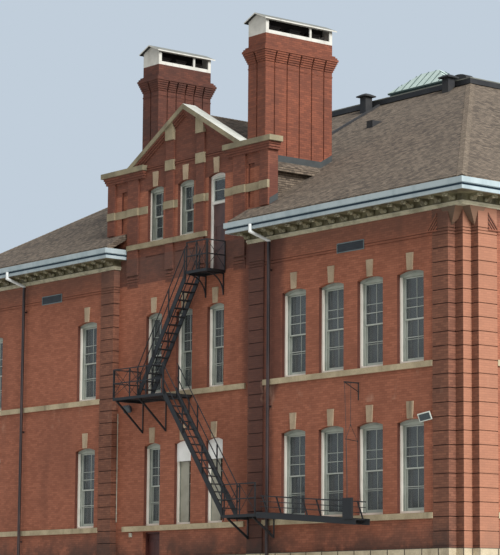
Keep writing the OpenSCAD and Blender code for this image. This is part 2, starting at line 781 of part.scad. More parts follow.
// Boarded weather cap with a gabled roof, open along both long sides above its bottom rail
module chimney_cap(d, top) {
    run = d - 2 * cap_t - 2 * seat;
    top_rail_z = cap_h - cap_rail_h / 2;
    post = [cap_t, 2 * cap_t, top_rail_z - cap_rail_h - 2 * seat];
    eave_z = cap_h + seat - cap_eave * cap_slope;
    translate([chimney_x, chimney_back - d, top]) {
        for (y = [0, d - cap_t]) translate([0, y, 0]) upright(cap_t)
            polygon([[0, 0], [chimney_w, 0], [chimney_w, cap_h], [chimney_w / 2, cap_h + cap_rise], [0, cap_h]]);
        for (x = [0, chimney_w - cap_t]) translate([x, cap_t + seat, 0]) {
            cube([cap_t, run, cap_rail_h]);
            translate([0, 0, top_rail_z]) cube([cap_t, run, cap_rail_h / 2]);
            for (y = [0, d * 0.64, run - post[1]]) translate([0, y, cap_rail_h + seat]) cube(post);
        }
        for (s = [0, 1]) translate([chimney_w / 2, -cap_eave, 0]) mirror([s, 0, 0]) upright(d + 2 * cap_eave)
            polygon([[seat, cap_h + cap_rise + seat], [chimney_w / 2 + cap_eave, eave_z],
                [chimney_w / 2 + cap_eave, eave_z + cap_t], [seat, cap_h + cap_rise + seat + cap_t]]);
    }
}

module chimney_caps() {
    color(white) on_front() {
        chimney_cap(chimney_right_d, chimney_right_top);
        mirror([1, 0, 0]) chimney_cap(chimney_left_d, chimney_left_top);
    }
}

skylight_x = -800;
skylight_back = 1050;
skylight_run = deck_run + skylight_back;
skylight_size = [3000, 1300, 150];

module skylight() {
    color("#9fb0a4") translate([skylight_x, front_y + skylight_run, deck_z + deck_edge_h]) {
        cube(skylight_size);
        translate([0, 0, skylight_size[2]]) hull() {
            cube([skylight_size[0], skylight_size[1], 10]);
            translate([1100, 600, 550]) cube([900, 100, 10]);
        }
    }
}

vent_w = 300;
vent_x = -550;
hood_x = 2100;
hood_run = 6150;

// Square vent with a hipped cap by the deck, a hood lower down, and the rib from the ridge to the deck
module roof_vents() {
    color(iron) on_front() difference() {
        union() {
            translate([vent_x, deck_run - 470, deck_z - 500]) cube([vent_w, vent_w, 800]);
            translate([vent_x - 100, deck_run - 570, deck_z + 300]) hull() {
                cube([vent_w + 200, vent_w + 200, 40]);
                translate([150, 150, 110]) cube([200, 200, 10]);
            }
            translate([hood_x, hood_run, roof_z(hood_run)]) rotate([90, 0, 90]) linear_extrude(vent_w)
                polygon([[0, -100], [0, 250], [520, 250], [520, 0]]);
            translate([-rib_w / 2, gable_run, gable_ridge]) rotate([roof_angle, 0, 0])
                translate([0, 20, -20]) cube([rib_w, (deck_run - gable_run) / cos(roof_angle) - 80, rib_h + 20]);
        }
        slope_block(5000);
    }
}

// Runs of the eaves round the building, between two distances from the walls; below 0 is over the wall
module eaves_runs(from, out, h) {
    linear_extrude(h) {
        for (s = [0, 1]) mirror([s, 0]) {
            polygon([[bay_half - out * bay_eave, front_y - out], [half_w + out - gap, front_y - out],
                [half_w + from - gap, front_y - from], [bay_half - out * bay_eave, front_y - from]]);
            if (from >= 0) translate([bay_half - out * bay_eave, front_y - from + gap])
                square([(out - from) * bay_eave, bay_setback + from - gap]);
            polygon([[half_w + from, front_y - from + gap], [half_w + out, front_y - out + gap],
                [half_w + out, half_d + out - gap], [half_w + from, half_d + from - gap]]);
        }
        polygon([[-half_w - from + gap, half_d + from], [half_w + from - gap, half_d + from],
            [half_w + out - gap, half_d + out], [-half_w - out + gap, half_d + out]]);
    }
}

// One scrolled bracket under the soffit, from the frieze outwards
module eaves_bracket() {
    rotate([90, 0, -90]) translate([0, 0, -bracket_w / 2]) linear_extrude(bracket_w) difference() {
        polygon([[frieze - 10, 0], [frieze - 10, -150], [frieze + 110, -170], [frieze + 190, -90],
            [frieze + 400, -60], [frieze + 430, 0]]);
        translate([frieze + 260, -150]) circle(r = 88);
    }
}

// Row of brackets under one run of the eaves, evenly spread
module bracket_row(x0, x1) {
    n = floor((x1 - x0) / bracket_pitch);
    for (i = [0 : n]) translate([x0 + (x1 - x0) * i / n, 0, soffit_z + 1]) eaves_bracket();
}

// Bed mould, frieze, brackets and boxed eaves, seated on the tops of the walls
module cornice() {
    inner = -bay_setback;
    color("#6d6a50") {
        translate([0, 0, wall_top]) eaves_runs(inner, bed_out - 35, bed_h / 2 + 1);
        translate([0, 0, wall_top + bed_h / 2]) eaves_runs(inner, bed_out, bed_h / 2);
        translate([0, 0, wall_top + bed_h - 1]) eaves_runs(inner, frieze, soffit_z - wall_top - bed_h + 2);
        translate([0, 0, soffit_z]) eaves_runs(inner, roof_foot, eaves_box_top - soffit_z);
        for (s = [0, 1]) mirror([s, 0, 0]) on_front() bracket_row(bay_half + 60, half_w - 250);
        for (s = [0, 1]) mirror([s, 0, 0]) on_right() bracket_row(-half_d + 250, half_d - 250);
        on_back() bracket_row(-half_w + 250, half_w - 250);
    }
}

// Gutter as an open trough with a moulded front, over a fascia board
module gutters() {
    color("#9db0b6") {
        floor_z = fascia_top + gutter_seat;
        rim_z = floor_z + gutter_t;
        translate([0, 0, soffit_z]) eaves_runs(roof_foot, roof_foot + fascia_t, fascia_top - soffit_z);
        translate([0, 0, fascia_top - 1]) eaves_runs(roof_foot, roof_foot + gutter_t, gutter_seat + 2);
        translate([0, 0, floor_z]) eaves_runs(roof_foot, eave - gutter_t, gutter_t + 1);
        translate([0, 0, rim_z]) {
            eaves_runs(roof_foot, roof_foot + gutter_t / 2, gutter_top - rim_z);
            eaves_runs(eave - 2 * gutter_t, eave, gutter_top - rim_z);
        }
    }
}

module band(x0, x1, z, h, proud) {
    translate([x0, -proud, z - h]) cube([x1 - x0, proud, h]);
}

module sill_bands() {
    color(stone) for (z = [sill_low, sill_high]) {
        on_front() {
            band(wing_in, wing_out, z, sill_h, sill_proud);
            band(-wing_out, -wing_in, z, sill_h, sill_proud);
        }
        translate([0, bay_setback, 0]) on_front()
            band(-bay_half + 400, bay_half - 400, z, sill_h, sill_proud);
        on_right() band(-half_d + corner_d, half_d - corner_d, z, sill_h, sill_proud);
        on_left() band(-half_d + corner_d, half_d - corner_d, z, sill_h, sill_proud);
        on_back() band(-wing_out, wing_out, z, sill_h, sill_proud);
    }
}

module keystone(x, z) {
    translate([x, 0, z]) rotate([90, 0, 0]) linear_extrude(40)
        polygon([[-keystone_w / 2, 0], [keystone_w / 2, 0], [keystone_w / 2 + 35, keystone_h],
            [-keystone_w / 2 - 35, keystone_h]]);
}

module keystone_row(row) {
    for (z = [sill_low, sill_high], o = row) keystone(o[0], z + win_h);
}

module keystones() {
    color(stone) {
        on_front() keystone_row(concat(left_row, wing_row));
        translate([0, bay_y, 0]) {
            keystone_row(bay_row);
            for (x = bay_windows) keystone(x, attic_sill + attic_win_h);
        }
        on_right() keystone_row(side_row);
        on_left() keystone_row(side_row);
        on_back() keystone_row(back_row);
    }
}

// Stone sill band, the band round the gable that follows its strips, and the stone blocks on its face
module attic_bands() {
    w = bay_win_w / 2;
    proud = strip_proud + 30;
    color(stone) translate([0, bay_y, 0]) {
        for (r = [[-gable_half, bay_windows[0] - w], [bay_windows[0] + w, bay_windows[1] - w],
                [bay_windows[1] + w, bay_windows[2] - w], [bay_windows[2] + w, gable_half]])
            band(r[0] + 2, r[1] - 2, band_z + band_h, band_h, 30);
        for (s = [-1, 1]) {
            x = s * bay_pitch / 2;
            band(x - strip_w / 2 - 30, x + strip_w / 2 + 30, band_z + band_h, band_h, proud);
            band(s > 0 ? inner_pilaster[0] : -inner_pilaster[1], s > 0 ? inner_pilaster[1] : -inner_pilaster[0],
                band_z + band_h, band_h, proud);
            band(s * outer_pilaster_x - strip_w / 2, s * outer_pilaster_x + strip_w / 2,
                band_z + band_h, band_h, proud);
            band(x - strip_w / 2 - 15, x + strip_w / 2 + 15, block_top, block_top - block_low, proud);
        }
        for (s = [0, 1]) mirror([s, 0, 0]) rake_block();
        band(-bay_half + 450, attic_door_left - 50, attic_sill, sill_h, proud);
    }
}

// Stone block under the coping at the head of a strip
module rake_block() {
    a = bay_pitch / 2 - strip_w / 2;
    b = a + strip_w;
    translate([0, -strip_proud - 50, 0]) upright(strip_proud + 50)
        polygon([[a, rake_block_low], [b, rake_block_low], [b, rake_z(b) - 2], [a, rake_z(a) - 2]]);
}

// Coping stones on the shoulders and up both rakes of the gable
module coping() {
    color(stone) for (s = [0, 1]) mirror([s, 0, 0]) {
        translate([0, bay_y, shoulder_z]) linear_extrude(coping_t)
            polygon([[shoulder_in, -coping_out - 20], [gable_half + 240, -coping_out - 20],
                [gable_half + 240, gable_t], [rake_foot + gap, gable_t], [rake_foot + gap, 0],
                [shoulder_in, 0]]);
        translate([0, bay_y - coping_out, 0]) upright(gable_t + coping_out)
            polygon([[gap, rake_z(0)], [rake_end(0), shoulder_top + gap], [rake_foot, shoulder_top + gap],
                [gap, rake_z(0) + coping_t]]);
    }
}

module window_frame(x, z, w, h) {
    translate([x, reveal, z]) upright(frame_d) difference() {
        arch_opening(w, h, win_rise);
        translate([0, frame_w]) arch_opening(w - 2 * frame_w, h - 2 * frame_w, win_rise);
    }
}

module frames_row(row) {
    for (z = [sill_low, sill_high], o = row) window_frame(o[0], z, o[1], win_h);
}

module window_frames() {
    color(white) {
        on_front() frames_row(concat(left_row, wing_row));
        translate([0, bay_y, 0]) {
            frames_row(bay_row);
            for (x = [bay_windows[0], bay_windows[1]])
                window_frame(x, attic_sill, bay_win_w, attic_win_h);
        }
        on_right() frames_row(side_row);
        on_left() frames_row(side_row);
        on_back() frames_row(back_row);
    }
}

// One glass sheet a storey, just behind the frames
module glass_row(x0, x1) {
    for (z = [sill_low, sill_high]) translate([x0, wall_t, z]) cube([x1 - x0, glass_t, win_h]);
}

// Sheet over a whole row, lapping the brickwork at both ends
module row_glass(row) {
    last = row[len(row) - 1];
    glass_row(row[0][0] - row[0][1] / 2 - 50, last[0] + last[1] / 2 + 50);
}

module front_glass() {
    color("#5d6f73", 0.5) {
        on_front() {
            row_glass(wing_row);
            row_glass(left_row);
        }
        translate([0, bay_y, 0]) {
            row_glass(bay_row);
            translate([bay_windows[0] - bay_win_w / 2 - 50, gable_t, attic_sill])
                cube([2 * bay_pitch + bay_win_w + 100, glass_t, attic_win_h]);
        }
    }
}

module side_glass() {
    color("#5d6f73", 0.5) {
        on_right() row_glass(side_row);
        on_left() row_glass(side_row);
    }
}

module back_glass() {
    color("#5d6f73", 0.5) on_back() row_glass(back_row);
}

// Downpipes, each with an elbow that leads from under the gutter back to the wall
module downpipes() {
    color("#4a2f28") on_front() for (x = pipe_x) {
        foot = [x, -plinth_out - pipe_r, wall_top - 30];
        head = [x - 190, -roof_foot - fascia_t - pipe_r - 5, soffit_z - 80];
        translate([x, foot[1], 0]) {
            cylinder(r = pipe_r, h = foot[2]);
            for (z = [2300, 6100, 10300]) translate([-15, 20, z]) cube([30, plinth_out + pipe_r - 20, 60]);
        }
        rod(foot, head, pipe_r);
        for (p = [foot, head]) translate(p) sphere(r = pipe_r + 3);
        translate(head) cylinder(r = pipe_r, h = fascia_top + gutter_seat - gap - head[2]);
    }
}

// Wall vents under the cornice and a lamp on its bracket
wall_vent = [1220, 20, 300];
lamp = [300, 220, 200];
lamp_z = 5900;

module wall_fittings() {
    color("#5a6670") on_front() {
        for (x = [(wing_windows[1] + wing_windows[2]) / 2, -half_w + 5820])
            translate([x - wall_vent[0] / 2, -wall_vent[1], string_z - 10]) cube(wall_vent);
        translate([wing_out - 530, -lamp[1], lamp_z]) cube(lamp);
    }
}

// Fire escape, along the front of the middle bay and the right wing
pipe_x = [wing_in + 360, -half_w + 4240];
top_x = [1050, 2130];
mid_x = [-2280, 440];
low_x = [3620, 5150];
upper_y = bay_y - 760;
outer_y = bay_y - landing_d;
upper_foot = [-1480, landing_mid_z];
upper_head = [top_x[0], landing_top_z - 110];
lower_foot = [low_x[0] - 2, landing_low_z - 30];
lower_head = [mid_x[1], landing_mid_z + 60];
hinge_x = low_x[1] + 110;
hinge_z = landing_low_z - 45;
pin_r = 14;
pin_clear = 0.3;
hinge_lug = 32;
pulley_x = 8740;
pulley_z = 6530;

// Straight round rod from one point to another
module rod(a, b, r) {
    d = b - a;
    translate(a) rotate([0, acos(d[2] / norm(d)), atan2(d[1], d[0])]) cylinder(r = r, h = norm(d));
}

// Landing of slats in a deep rim, between two corners of its plan
module landing(x0, y0, x1, y1, z) {
    inner = [x1 - x0 - 2 * landing_rim, y1 - y0 - 2 * landing_rim];
    slats = round(inner[1] / slat_pitch);
    pitch = inner[1] / slats;
    difference() {
        translate([x0, y0, z - landing_t]) cube([x1 - x0, y1 - y0, landing_t]);
        translate([x0 + landing_rim, y0 + landing_rim, z - landing_t]) {
            translate([0, 0, -1]) cube([inner[0], inner[1], landing_t - slat_t + 1]);
            for (i = [0 : slats - 1]) translate([0, (i + 0.3) * pitch, 0])
                cube([inner[0], 0.4 * pitch, landing_t + 1]);
        }
    }
}

module escape_landings() {
    color(iron) {
        landing(top_x[0], upper_y, top_x[1], bay_y, landing_top_z);
        landing(mid_x[0], outer_y, mid_x[1], bay_y, landing_mid_z);
        difference() {
            landing(low_x[0], outer_y, low_x[1], front_y - pier_proud, landing_low_z);
            translate([pipe_x[0] - 80, front_y - plinth_out - 2 * pipe_r - 30, landing_low_z - 200])
                cube([160, 400, 400]);
        }
    }
}

// Slope of a flight from its foot to its head
function flight_angle(foot, head) = atan(abs(head[1] - foot[1]) / abs(head[0] - foot[0]));

// Both stringers of a flight, between its foot and its head
module stringers(foot, head, y) {
    v = stringer_h / 2 / cos(flight_angle(foot, head));
    for (dy = [0, flight_w - stringer_t]) translate([0, y + dy, 0]) upright(stringer_t)
        polygon([[foot[0], foot[1] - v], [head[0], head[1] - v], [head[0], head[1] + v],
            [foot[0], foot[1] + v]]);
}

function tread_count(foot, head) = round((head[1] - foot[1]) / 250);

module treads(foot, head, y) {
    n = tread_count(foot, head);
    for (i = [1 : n - 1]) translate([foot[0] + (head[0] - foot[0]) * i / n - 105,
            y + stringer_t, foot[1] + (head[1] - foot[1]) * i / n - 12])
        cube([210, flight_w - 2 * stringer_t, 25]);
}

module upper_stringers() {
    color(iron) difference() {
        stringers(upper_foot, upper_head, upper_y);
        translate([mid_x[0], outer_y, 0]) cube([3000, landing_d, landing_mid_z]);
    }
}

module lower_stringers() {
    color(iron) difference() {
        stringers(lower_foot, lower_head, outer_y);
        translate([mid_x[0] - 500, outer_y, landing_mid_z - 2000])
            cube([mid_x[1] - mid_x[0] + 500, landing_d, 4000]);
    }
}

module upper_treads() { color(iron) treads(upper_foot, upper_head, upper_y); }
module lower_treads() { color(iron) treads(lower_foot, lower_head, outer_y); }

module post(x, y, z, h = rail_h) { translate([x, y, z]) cube([bar, bar, h]); }

// Level railing along the front, with a post at each end
module railing(x0, x1, y, z) {
    post(x0, y, z);
    post(x1 - bar, y, z);
    translate([x0, y, z + rail_h]) cube([x1 - x0, bar, bar]);
    translate([x0 + bar, y, z + rail_h / 2]) cube([x1 - x0 - 2 * bar, bar, bar]);
}

// Crossed rods between two posts, from a corner at a railing's foot; run goes along x and depth along y
module cross_brace(x, y, z, run, depth) {
    low = rail_h * 0.08;
    rod([x, y, z + low], [x + run, y + depth, z + rail_h], brace_r);
    rod([x, y, z + rail_h], [x + run, y + depth, z + low], brace_r);
}

// Railing with its bays braced by crossed rods
module braced_railing(x0, x1, y, z, bays) {
    step = (x1 - x0 - bar) / bays;
    railing(x0, x1, y, z);
    for (i = [0 : bays - 1]) {
        if (i > 0) post(x0 + i * step, y, z);
        cross_brace(x0 + bar / 2 + i * step, y + bar / 2, z, step, 0);
    }
}

// Railing at the end of a landing, from its front corner back to the wall
module end_railing(x, y0, y1, z) {
    front = y0 + bar + gap;
    for (h = [rail_h / 2, rail_h]) translate([x, front, z + h]) cube([bar, y1 - front, bar]);
    for (y = [front, y1 - bar]) post(x, y, z);
    cross_brace(x + bar / 2, front + bar / 2, z, 0, y1 - front - bar);
}

// Both handrails of a flight on one side, on posts against the stringer's outer face
module flight_rail(foot, head, y) {
    dx = head[0] - foot[0];
    dz = head[1] - foot[1];
    for (h = [rail_h / 2, rail_h])
        rod([foot[0], y + bar / 2, foot[1] + h], [head[0], y + bar / 2, head[1] + h], bar / 2);
    for (t = [0.02, 0.34, 0.66, 0.98])
        post(foot[0] + dx * t - bar / 2, y, foot[1] + dz * t - stringer_h / 4, rail_h + stringer_h / 4);
}

module escape_rails() {
    color(iron) {
        braced_railing(mid_x[0], mid_x[1], outer_y, landing_mid_z, 3);
        end_railing(mid_x[0], outer_y, bay_y - sill_proud, landing_mid_z);
        braced_railing(top_x[0], top_x[1], upper_y, landing_top_z, 2);
        end_railing(top_x[1] - bar, upper_y, bay_y, landing_top_z);
        braced_railing(low_x[0], low_x[1], outer_y, landing_low_z, 2);
        for (y = [upper_y - bar - seat, upper_y + flight_w + seat]) flight_rail(upper_foot, upper_head, y);
        for (y = [outer_y - bar - seat, outer_y + flight_w + seat]) flight_rail(lower_foot, lower_head, y);
    }
}

module escape_brackets() {
    color(iron) {
        for (x = [mid_x[0] + 100, (mid_x[0] + mid_x[1]) / 2, mid_x[1] - 134])
            translate([x, bay_y, landing_mid_z - landing_t]) strut_bracket(landing_d - 60, 1000);
        for (x = [top_x[0] + 66, top_x[1] - 100]) translate([x, bay_y, landing_top_z - landing_t])
            curved_bracket(bay_y - upper_y - 60);
        for (x = [low_x[0] + 60, low_x[1] - 200])
            translate([x, front_y - (x > wing_in ? sill_proud : pier_proud), landing_low_z - landing_t])
                strut_bracket(landing_d - bay_setback - 120, 620);
    }
}

// Wall leg, top bar and straight strut under a landing
module strut_bracket(reach, drop) {
    slant = bar / sin(atan(drop / reach));
    translate([bar, 0, 0]) rotate([90, 0, -90]) linear_extrude(bar) difference() {
        polygon([[0, 0], [0, -drop], [bar, -drop], [reach, -bar], [reach, 0]]);
        polygon([[bar, -bar], [bar, -drop + 1.6 * slant], [reach - 1.2 * slant - bar, -bar]]);
    }
}

// Wall leg, top bar and quarter circle under a landing
module curved_bracket(reach) {
    translate([bar, 0, 0]) rotate([90, 0, -90]) linear_extrude(bar) {
        translate([0, -reach]) square([bar, reach]);
        translate([0, -bar]) square([reach, bar]);
        intersection() {
            translate([0, -reach]) square([reach, reach]);
            translate([reach, -reach]) difference() {
                circle(r = reach);
                circle(r = reach - bar);
            }
        }
    }
}

// Pin and lugs that carry the drop stair at the end of the lower landing
module stair_hinge() {
    color(iron) translate([hinge_x, outer_y, hinge_z]) {
        for (y = [stringer_t + 6, flight_w - 2 * stringer_t - 6]) translate([0, y, 0])
            upright(stringer_t) {
                circle(r = hinge_lug);
                translate([low_x[1] - hinge_x, -hinge_lug]) square([hinge_x - low_x[1], 2 * hinge_lug]);
            }
        translate([0, -12, 0]) rotate([-90, 0, 0]) cylinder(r = pin_r, h = flight_w + 24);
    }
}

// Wall arm with its strut, from which the drop stair hangs
module pulley_bracket() {
    color(iron) translate([pulley_x, front_y, pulley_z]) {
        translate([-18, -560, 0]) cube([36, 560, 36]);
        rod([0, -520, 4], [0, -6, -240], 12);
        translate([-18, -14, -480]) cube([36, 14, 480]);
    }
}

function drop_point(x, y, z) = [hinge_x + x * cos(drop_rest) + z * sin(drop_rest), outer_y + y,
    hinge_z - x * sin(drop_rest) + z * cos(drop_rest)];

// Rope between two points, with round ends that stop short of what they hang from or hold
module rope(a, b, r = rope_r) {
    rod(a, b, r);
    for (p = [a, b]) translate(p) sphere(r = r + 1);
}

// Height above a surface of a rope's end that clears it
rope_end = rope_r + 1.4;

module lift_cables() {
    apex = [pulley_x + 430, outer_y + flight_w / 2, 5260];
    ends = [[pulley_x + 530, outer_y + bar / 2, 4840], [pulley_x + 440, outer_y + flight_w - bar / 2, 4800]];
    color(iron) {
        rope([pulley_x, front_y - 300, pulley_z - rope_end], apex);
        rod(ends[0], ends[1], 10);
        for (p = concat([apex], ends)) translate(p) sphere(r = 22);
        for (e = ends) {
            rod(apex, e, rope_r);
            rope(e, drop_point(4008, e[1] - outer_y, stringer_h / 2 + drop_rail_h + bar + rope_end));
        }
        rope([pulley_x, front_y - 540, pulley_z - rope_end],
            drop_point(drop_len - 290, -30, 0) + [0, 0, weight_top + rope_end]);
    }
}

// Drop stair, hinged on the lower landing; it rests raised and its free end swings down
module on_drop_stair() { translate([hinge_x, outer_y, hinge_z]) rotate([0, drop_rest, 0]) children(); }

module drop_stringers() {
    color(iron) on_drop_stair() for (y = [0, flight_w - stringer_t]) translate([0, y, 0])
        upright(stringer_t) difference() {
            union() {
                circle(r = stringer_h / 2);
                translate([0, -stringer_h / 2]) square([drop_len, stringer_h]);
            }
            circle(r = pin_r + pin_clear);
        }
}

drop_treads_n = 17;

module drop_treads() {
    color(iron) on_drop_stair() for (i = [1 : drop_treads_n])
        translate([i * drop_len / (drop_treads_n + 1), stringer_t, 0])
            rotate([0, -drop_rest - drop_swing, 0]) translate([-95, 0, -12])
                cube([190, flight_w - 2 * stringer_t, 25]);
}

// Three rails on each side, on posts that stand upright when the stair is down
module drop_rails() {
    low = stringer_h / 2;
    rail_first = 100;
    rail_last = drop_len - 200;
    post_first = 500;
    post_last = drop_len - 250;
    color(iron) on_drop_stair() for (y = [0, flight_w - bar]) translate([0, y, 0])
        upright(bar) intersection() {
            union() {
                for (i = [0 : 2]) translate([post_first + i * (post_last - post_first) / 2, 0])
                    rotate(-drop_rest + drop_swing) translate([-bar / 2, 0]) square([bar, 2 * drop_rail_h]);
                translate([rail_first, low + drop_rail_h]) square([rail_last - rail_first, bar]);
                for (h = [drop_rail_h / 3, drop_rail_h * 2 / 3]) translate([rail_first, low + h])
                    square([rail_last - rail_first, bar * 0.6]);
            }
            translate([0, low]) square([drop_len, drop_rail_h + bar]);
        }
}

weight_top = 660;

module stair_weight() {
    color(iron) translate(drop_point(drop_len - 290, 0, 0) + [-200, -60, 60]) cube([400, 60, weight_top - 60]);
}

// Upright axis of the side door's hinges
door_axis = [door_x - door_w / 2 + 52.5, bay_y + 258];
hinge_heights = [400, 1300, 2200];

module side_door() {
    color("#4b2a22") difference() {
        union() {
            translate([door_axis[0] + 2.5, door_axis[1] - 8 - door_t, slab_t + 10])
                cube([door_w - 110, door_t, door_h - slab_t - 70]);
            for (z = hinge_heights) translate([door_axis[0], door_axis[1], z]) {
                cylinder(r = 8, h = 50);
                translate([0, -8, 0]) cube([40, 3, 50]);
            }
        }
        translate([door_axis[0], door_axis[1], 0]) cylinder(r = 5.2, h = door_h);
    }
}

module door_frame() {
    color("#4b2a22") {
        translate([door_x, bay_y + 120, 0]) upright(130) difference() {
            translate([-door_w / 2, 0]) square([door_w, door_h]);
            translate([-door_w / 2 + 50, -1]) square([door_w - 100, door_h - 49]);
        }
        for (z = hinge_heights) translate([door_axis[0], door_axis[1], z]) {
            translate([0, 0, -45]) cylinder(r = 5, h = 140);
            for (dz = [-45, 55]) translate([0, 0, dz]) {
                cylinder(r = 8, h = 40);
                translate([-40, -8, 0]) cube([40, 3, 40]);
            }
        }
    }
}

// Upper door on to the top landing with its jambs and the sash over it; it has no joint
module fire_door() {
    transom = attic_sill + attic_win_h * 0.46;
    head = attic_sill + attic_head_z;
    color("#5a2f26") translate([attic_door_x, bay_y + reveal, 0]) {
        for (s = [-1, 1]) translate([s * (bay_win_w - frame_w) / 2 - frame_w / 2, 0, attic_floor_z])
            cube([frame_w, frame_d, head - attic_floor_z]);
        upright(frame_d) difference() {
            translate([0, transom]) arch_opening(bay_win_w, attic_sill + attic_win_h - transom, win_rise);
            translate([0, transom + frame_w]) arch_opening(bay_win_w - 2 * frame_w,
                attic_sill + attic_win_h - transom - 2 * frame_w, win_rise);
        }
        translate([-bay_win_w / 2 + frame_w, frame_d / 2, attic_floor_z + 10]) difference() {
            cube([bay_win_w - 2 * frame_w, 50, transom - attic_floor_z - 10]);
            for (z = [150, 900]) translate([110, -1, z]) cube([bay_win_w - 2 * frame_w - 220, 13, 560]);
        }
    }
}

plinth_front();
plinth_sides();
plinth_back();
right_wing_front();
left_wing_front();
bay_front();
gable_front();
gable_cheeks();
right_wall();
left_wall();
back_wall();
front_window_piers();
side_window_piers();
back_window_piers();
gable_trim();
wing_piers();
ground_floor();
first_floor();
second_floor();
attic_floor();
roof_front();
roof_right();
roof_left();
roof_back();
roof_deck();
gable_roof();
skylight();
roof_vents();
cornice();
gutters();
sill_bands();
keystones();
attic_bands();
coping();
chimney_right();
chimney_left();
chimney_caps();
window_frames();
front_glass();
side_glass();
back_glass();
downpipes();
wall_fittings();
escape_landings();
upper_stringers();
upper_treads();
lower_stringers();
lower_treads();
escape_rails();
escape_brackets();
stair_hinge();
pulley_bracket();
lift_cables();
drop_stringers();
drop_treads();
drop_rails();
stair_weight();
side_door();
door_frame();
fire_door();
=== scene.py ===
"""Looks of the red brick schoolhouse: finishes, sash windows, shingles, eaves brackets and ironwork."""
import math
import random
from collections import namedtuple

import bmesh
import bpy
from mathutils import Matrix, Vector


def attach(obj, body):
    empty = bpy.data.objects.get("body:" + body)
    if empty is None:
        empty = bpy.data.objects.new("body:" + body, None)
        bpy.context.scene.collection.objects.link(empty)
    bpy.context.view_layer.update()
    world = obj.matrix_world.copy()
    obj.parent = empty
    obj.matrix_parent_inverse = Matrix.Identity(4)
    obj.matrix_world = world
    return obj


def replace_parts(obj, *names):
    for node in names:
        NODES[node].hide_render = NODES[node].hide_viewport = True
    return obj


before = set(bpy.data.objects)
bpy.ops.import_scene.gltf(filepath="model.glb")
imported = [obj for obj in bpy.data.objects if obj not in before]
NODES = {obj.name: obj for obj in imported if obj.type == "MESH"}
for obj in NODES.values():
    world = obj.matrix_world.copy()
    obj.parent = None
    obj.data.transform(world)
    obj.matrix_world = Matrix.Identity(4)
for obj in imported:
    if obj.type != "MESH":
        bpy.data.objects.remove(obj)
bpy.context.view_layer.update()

# Driving dimensions, in metres, as the construction has them
HALF_W = 13.15
HALF_D = 12.0
BAY_HALF = 3.6
BAY_BACK = 0.2
BAY_Y = BAY_BACK - HALF_D
STRING_TOP = 10.68
WALL_TOP = 11.26
ELBOW_FOOT = 11.20
BED_TOP = 11.37
SOFFIT = 11.56
FASCIA_GAP = (11.658, 11.716)
EAVE = 0.72
GUTTER_IN = 0.60
GUTTER_TOP = 11.89
ROOF_SLOPE = 0.6
DECK_HALF = 4.5
DECK_RUN = HALF_W - DECK_HALF
DECK_Z = 17.512
DECK_TOP = DECK_Z + 0.21
DECK_SHEET = DECK_TOP - 0.035
PIER_PROUD = 0.04
GROOVE_START = 10.112
GROOVE_PITCH = 0.398
GROOVE_HEIGHT = 0.028

# Bricks, stone blocks, shingles and floor boards, at their real size
BRICK_COURSE = 0.0677
BRICK_LENGTH = 0.21
BRICK_JOINT = 0.007
BLOCK_SIZE = (0.34, 0.72)
BLOCK_JOINT = 0.03
SHINGLE_COURSE = 0.14
SHINGLE_TAB = 0.30
SHINGLE_GAP = 0.010
SHINGLE_SEAM = 0.004
BOARD_SIZE = (0.09, 2.4)
BOARD_GAP = 0.004

# Places of the windows
SILLS = (2.70, 6.97)
WINDOW_H = 2.67
WINDOW_RISE = 0.09
WING_WINDOW_W = 1.12
BAY_WINDOW_W = 0.86
ATTIC_SILL = 12.01
ATTIC_WINDOW_H = 1.83
WINDOW_PITCH = 1.735
BAY_PITCH = 1.64
WING_WINDOWS = [5.77 + step * WINDOW_PITCH for step in range(4)]
BAY_WINDOWS = [-BAY_PITCH, 0.0, BAY_PITCH]
LEFT_WINDOWS = [-5.17, -WING_WINDOWS[3]]
SIDE_WINDOWS = [side * (9.59 - step * WINDOW_PITCH) for side in (-1, 1) for step in range(4)]
SIDE_WINDOWS += [-0.5 * WINDOW_PITCH, 0.5 * WINDOW_PITCH]

# How far an edge is cut back on bars, on slim parts and on thin ones
EASED = 0.004
SLIM_EASED = 0.003
THIN_EASED = 0.002

# Frames and what hangs in them; depths are from the wall's face
FRAME_WIDTH = 0.07
# Depths past which frames carry painted shade: grey green in all windows, dark in the attic ones
FRAME_SHADE_DEPTH = 0.17
ATTIC_FRAME_SHADE_DEPTH = 0.125
FRAME_BACK = 0.23
LINING_BACK = 0.345
# Band at each window head that carries painted shade
FRAME_HEAD = (-0.16, 0.01)
HEAD_BOARD = 0.004
HEAD_BOARD_FRONT = 0.15
STORM_DEPTH = (0.222, 0.238)
STORM_RIM = 0.022
STORM_BAR_HALF = 0.011
STORM_BARS = (0.36, 0.715)
SASH_DEPTH = 0.04
SASH_BAR = 0.024
SASH_LAP = 0.022
BAR_IN = 0.006
PANE_IN = 0.02
PANE_HALF = 0.002
SASH_SHARE = 0.5
BLIND_DEPTH = 0.40
BLIND_RAIL = (0.02, 0.03)
BLIND_START = 0.03
BLIND_GAP = (0.02, 0.01)
BLIND_SLAT = 0.085
BLIND_PITCH = 0.072
BLIND_BOW = 0.16
BLIND_T = 0.002
BLINDS_DRAWN = (1.0, 1.0, 0.85, 0.6)
BLIND_TURNS = (28, 58)
SLAT_SWAY = 6
BOARD_DROP = 0.66
BOARD_DEPTH = (0.092, 0.11)
BOARD_CLEAR = (0.01, 0.006)
PANEL_DEPTH = (0.205, 0.22)
PANEL_SHARE = 0.62
FIRE_DOOR = (BAY_PITCH - BAY_WINDOW_W / 2, BAY_PITCH + BAY_WINDOW_W / 2)
FIRE_DOOR_TOP = ATTIC_SILL + ATTIC_WINDOW_H * 0.46
FIRE_SASH_DEPTH = (0.15, 0.19)
FIRE_SASH_RAIL = 0.05
FIRE_RAIL_IN = 0.002
FIRE_LEAF = (FIRE_DOOR[0] + FRAME_WIDTH + 0.001, FIRE_DOOR[1] - FRAME_WIDTH - 0.001, FIRE_DOOR_TOP - 0.001)

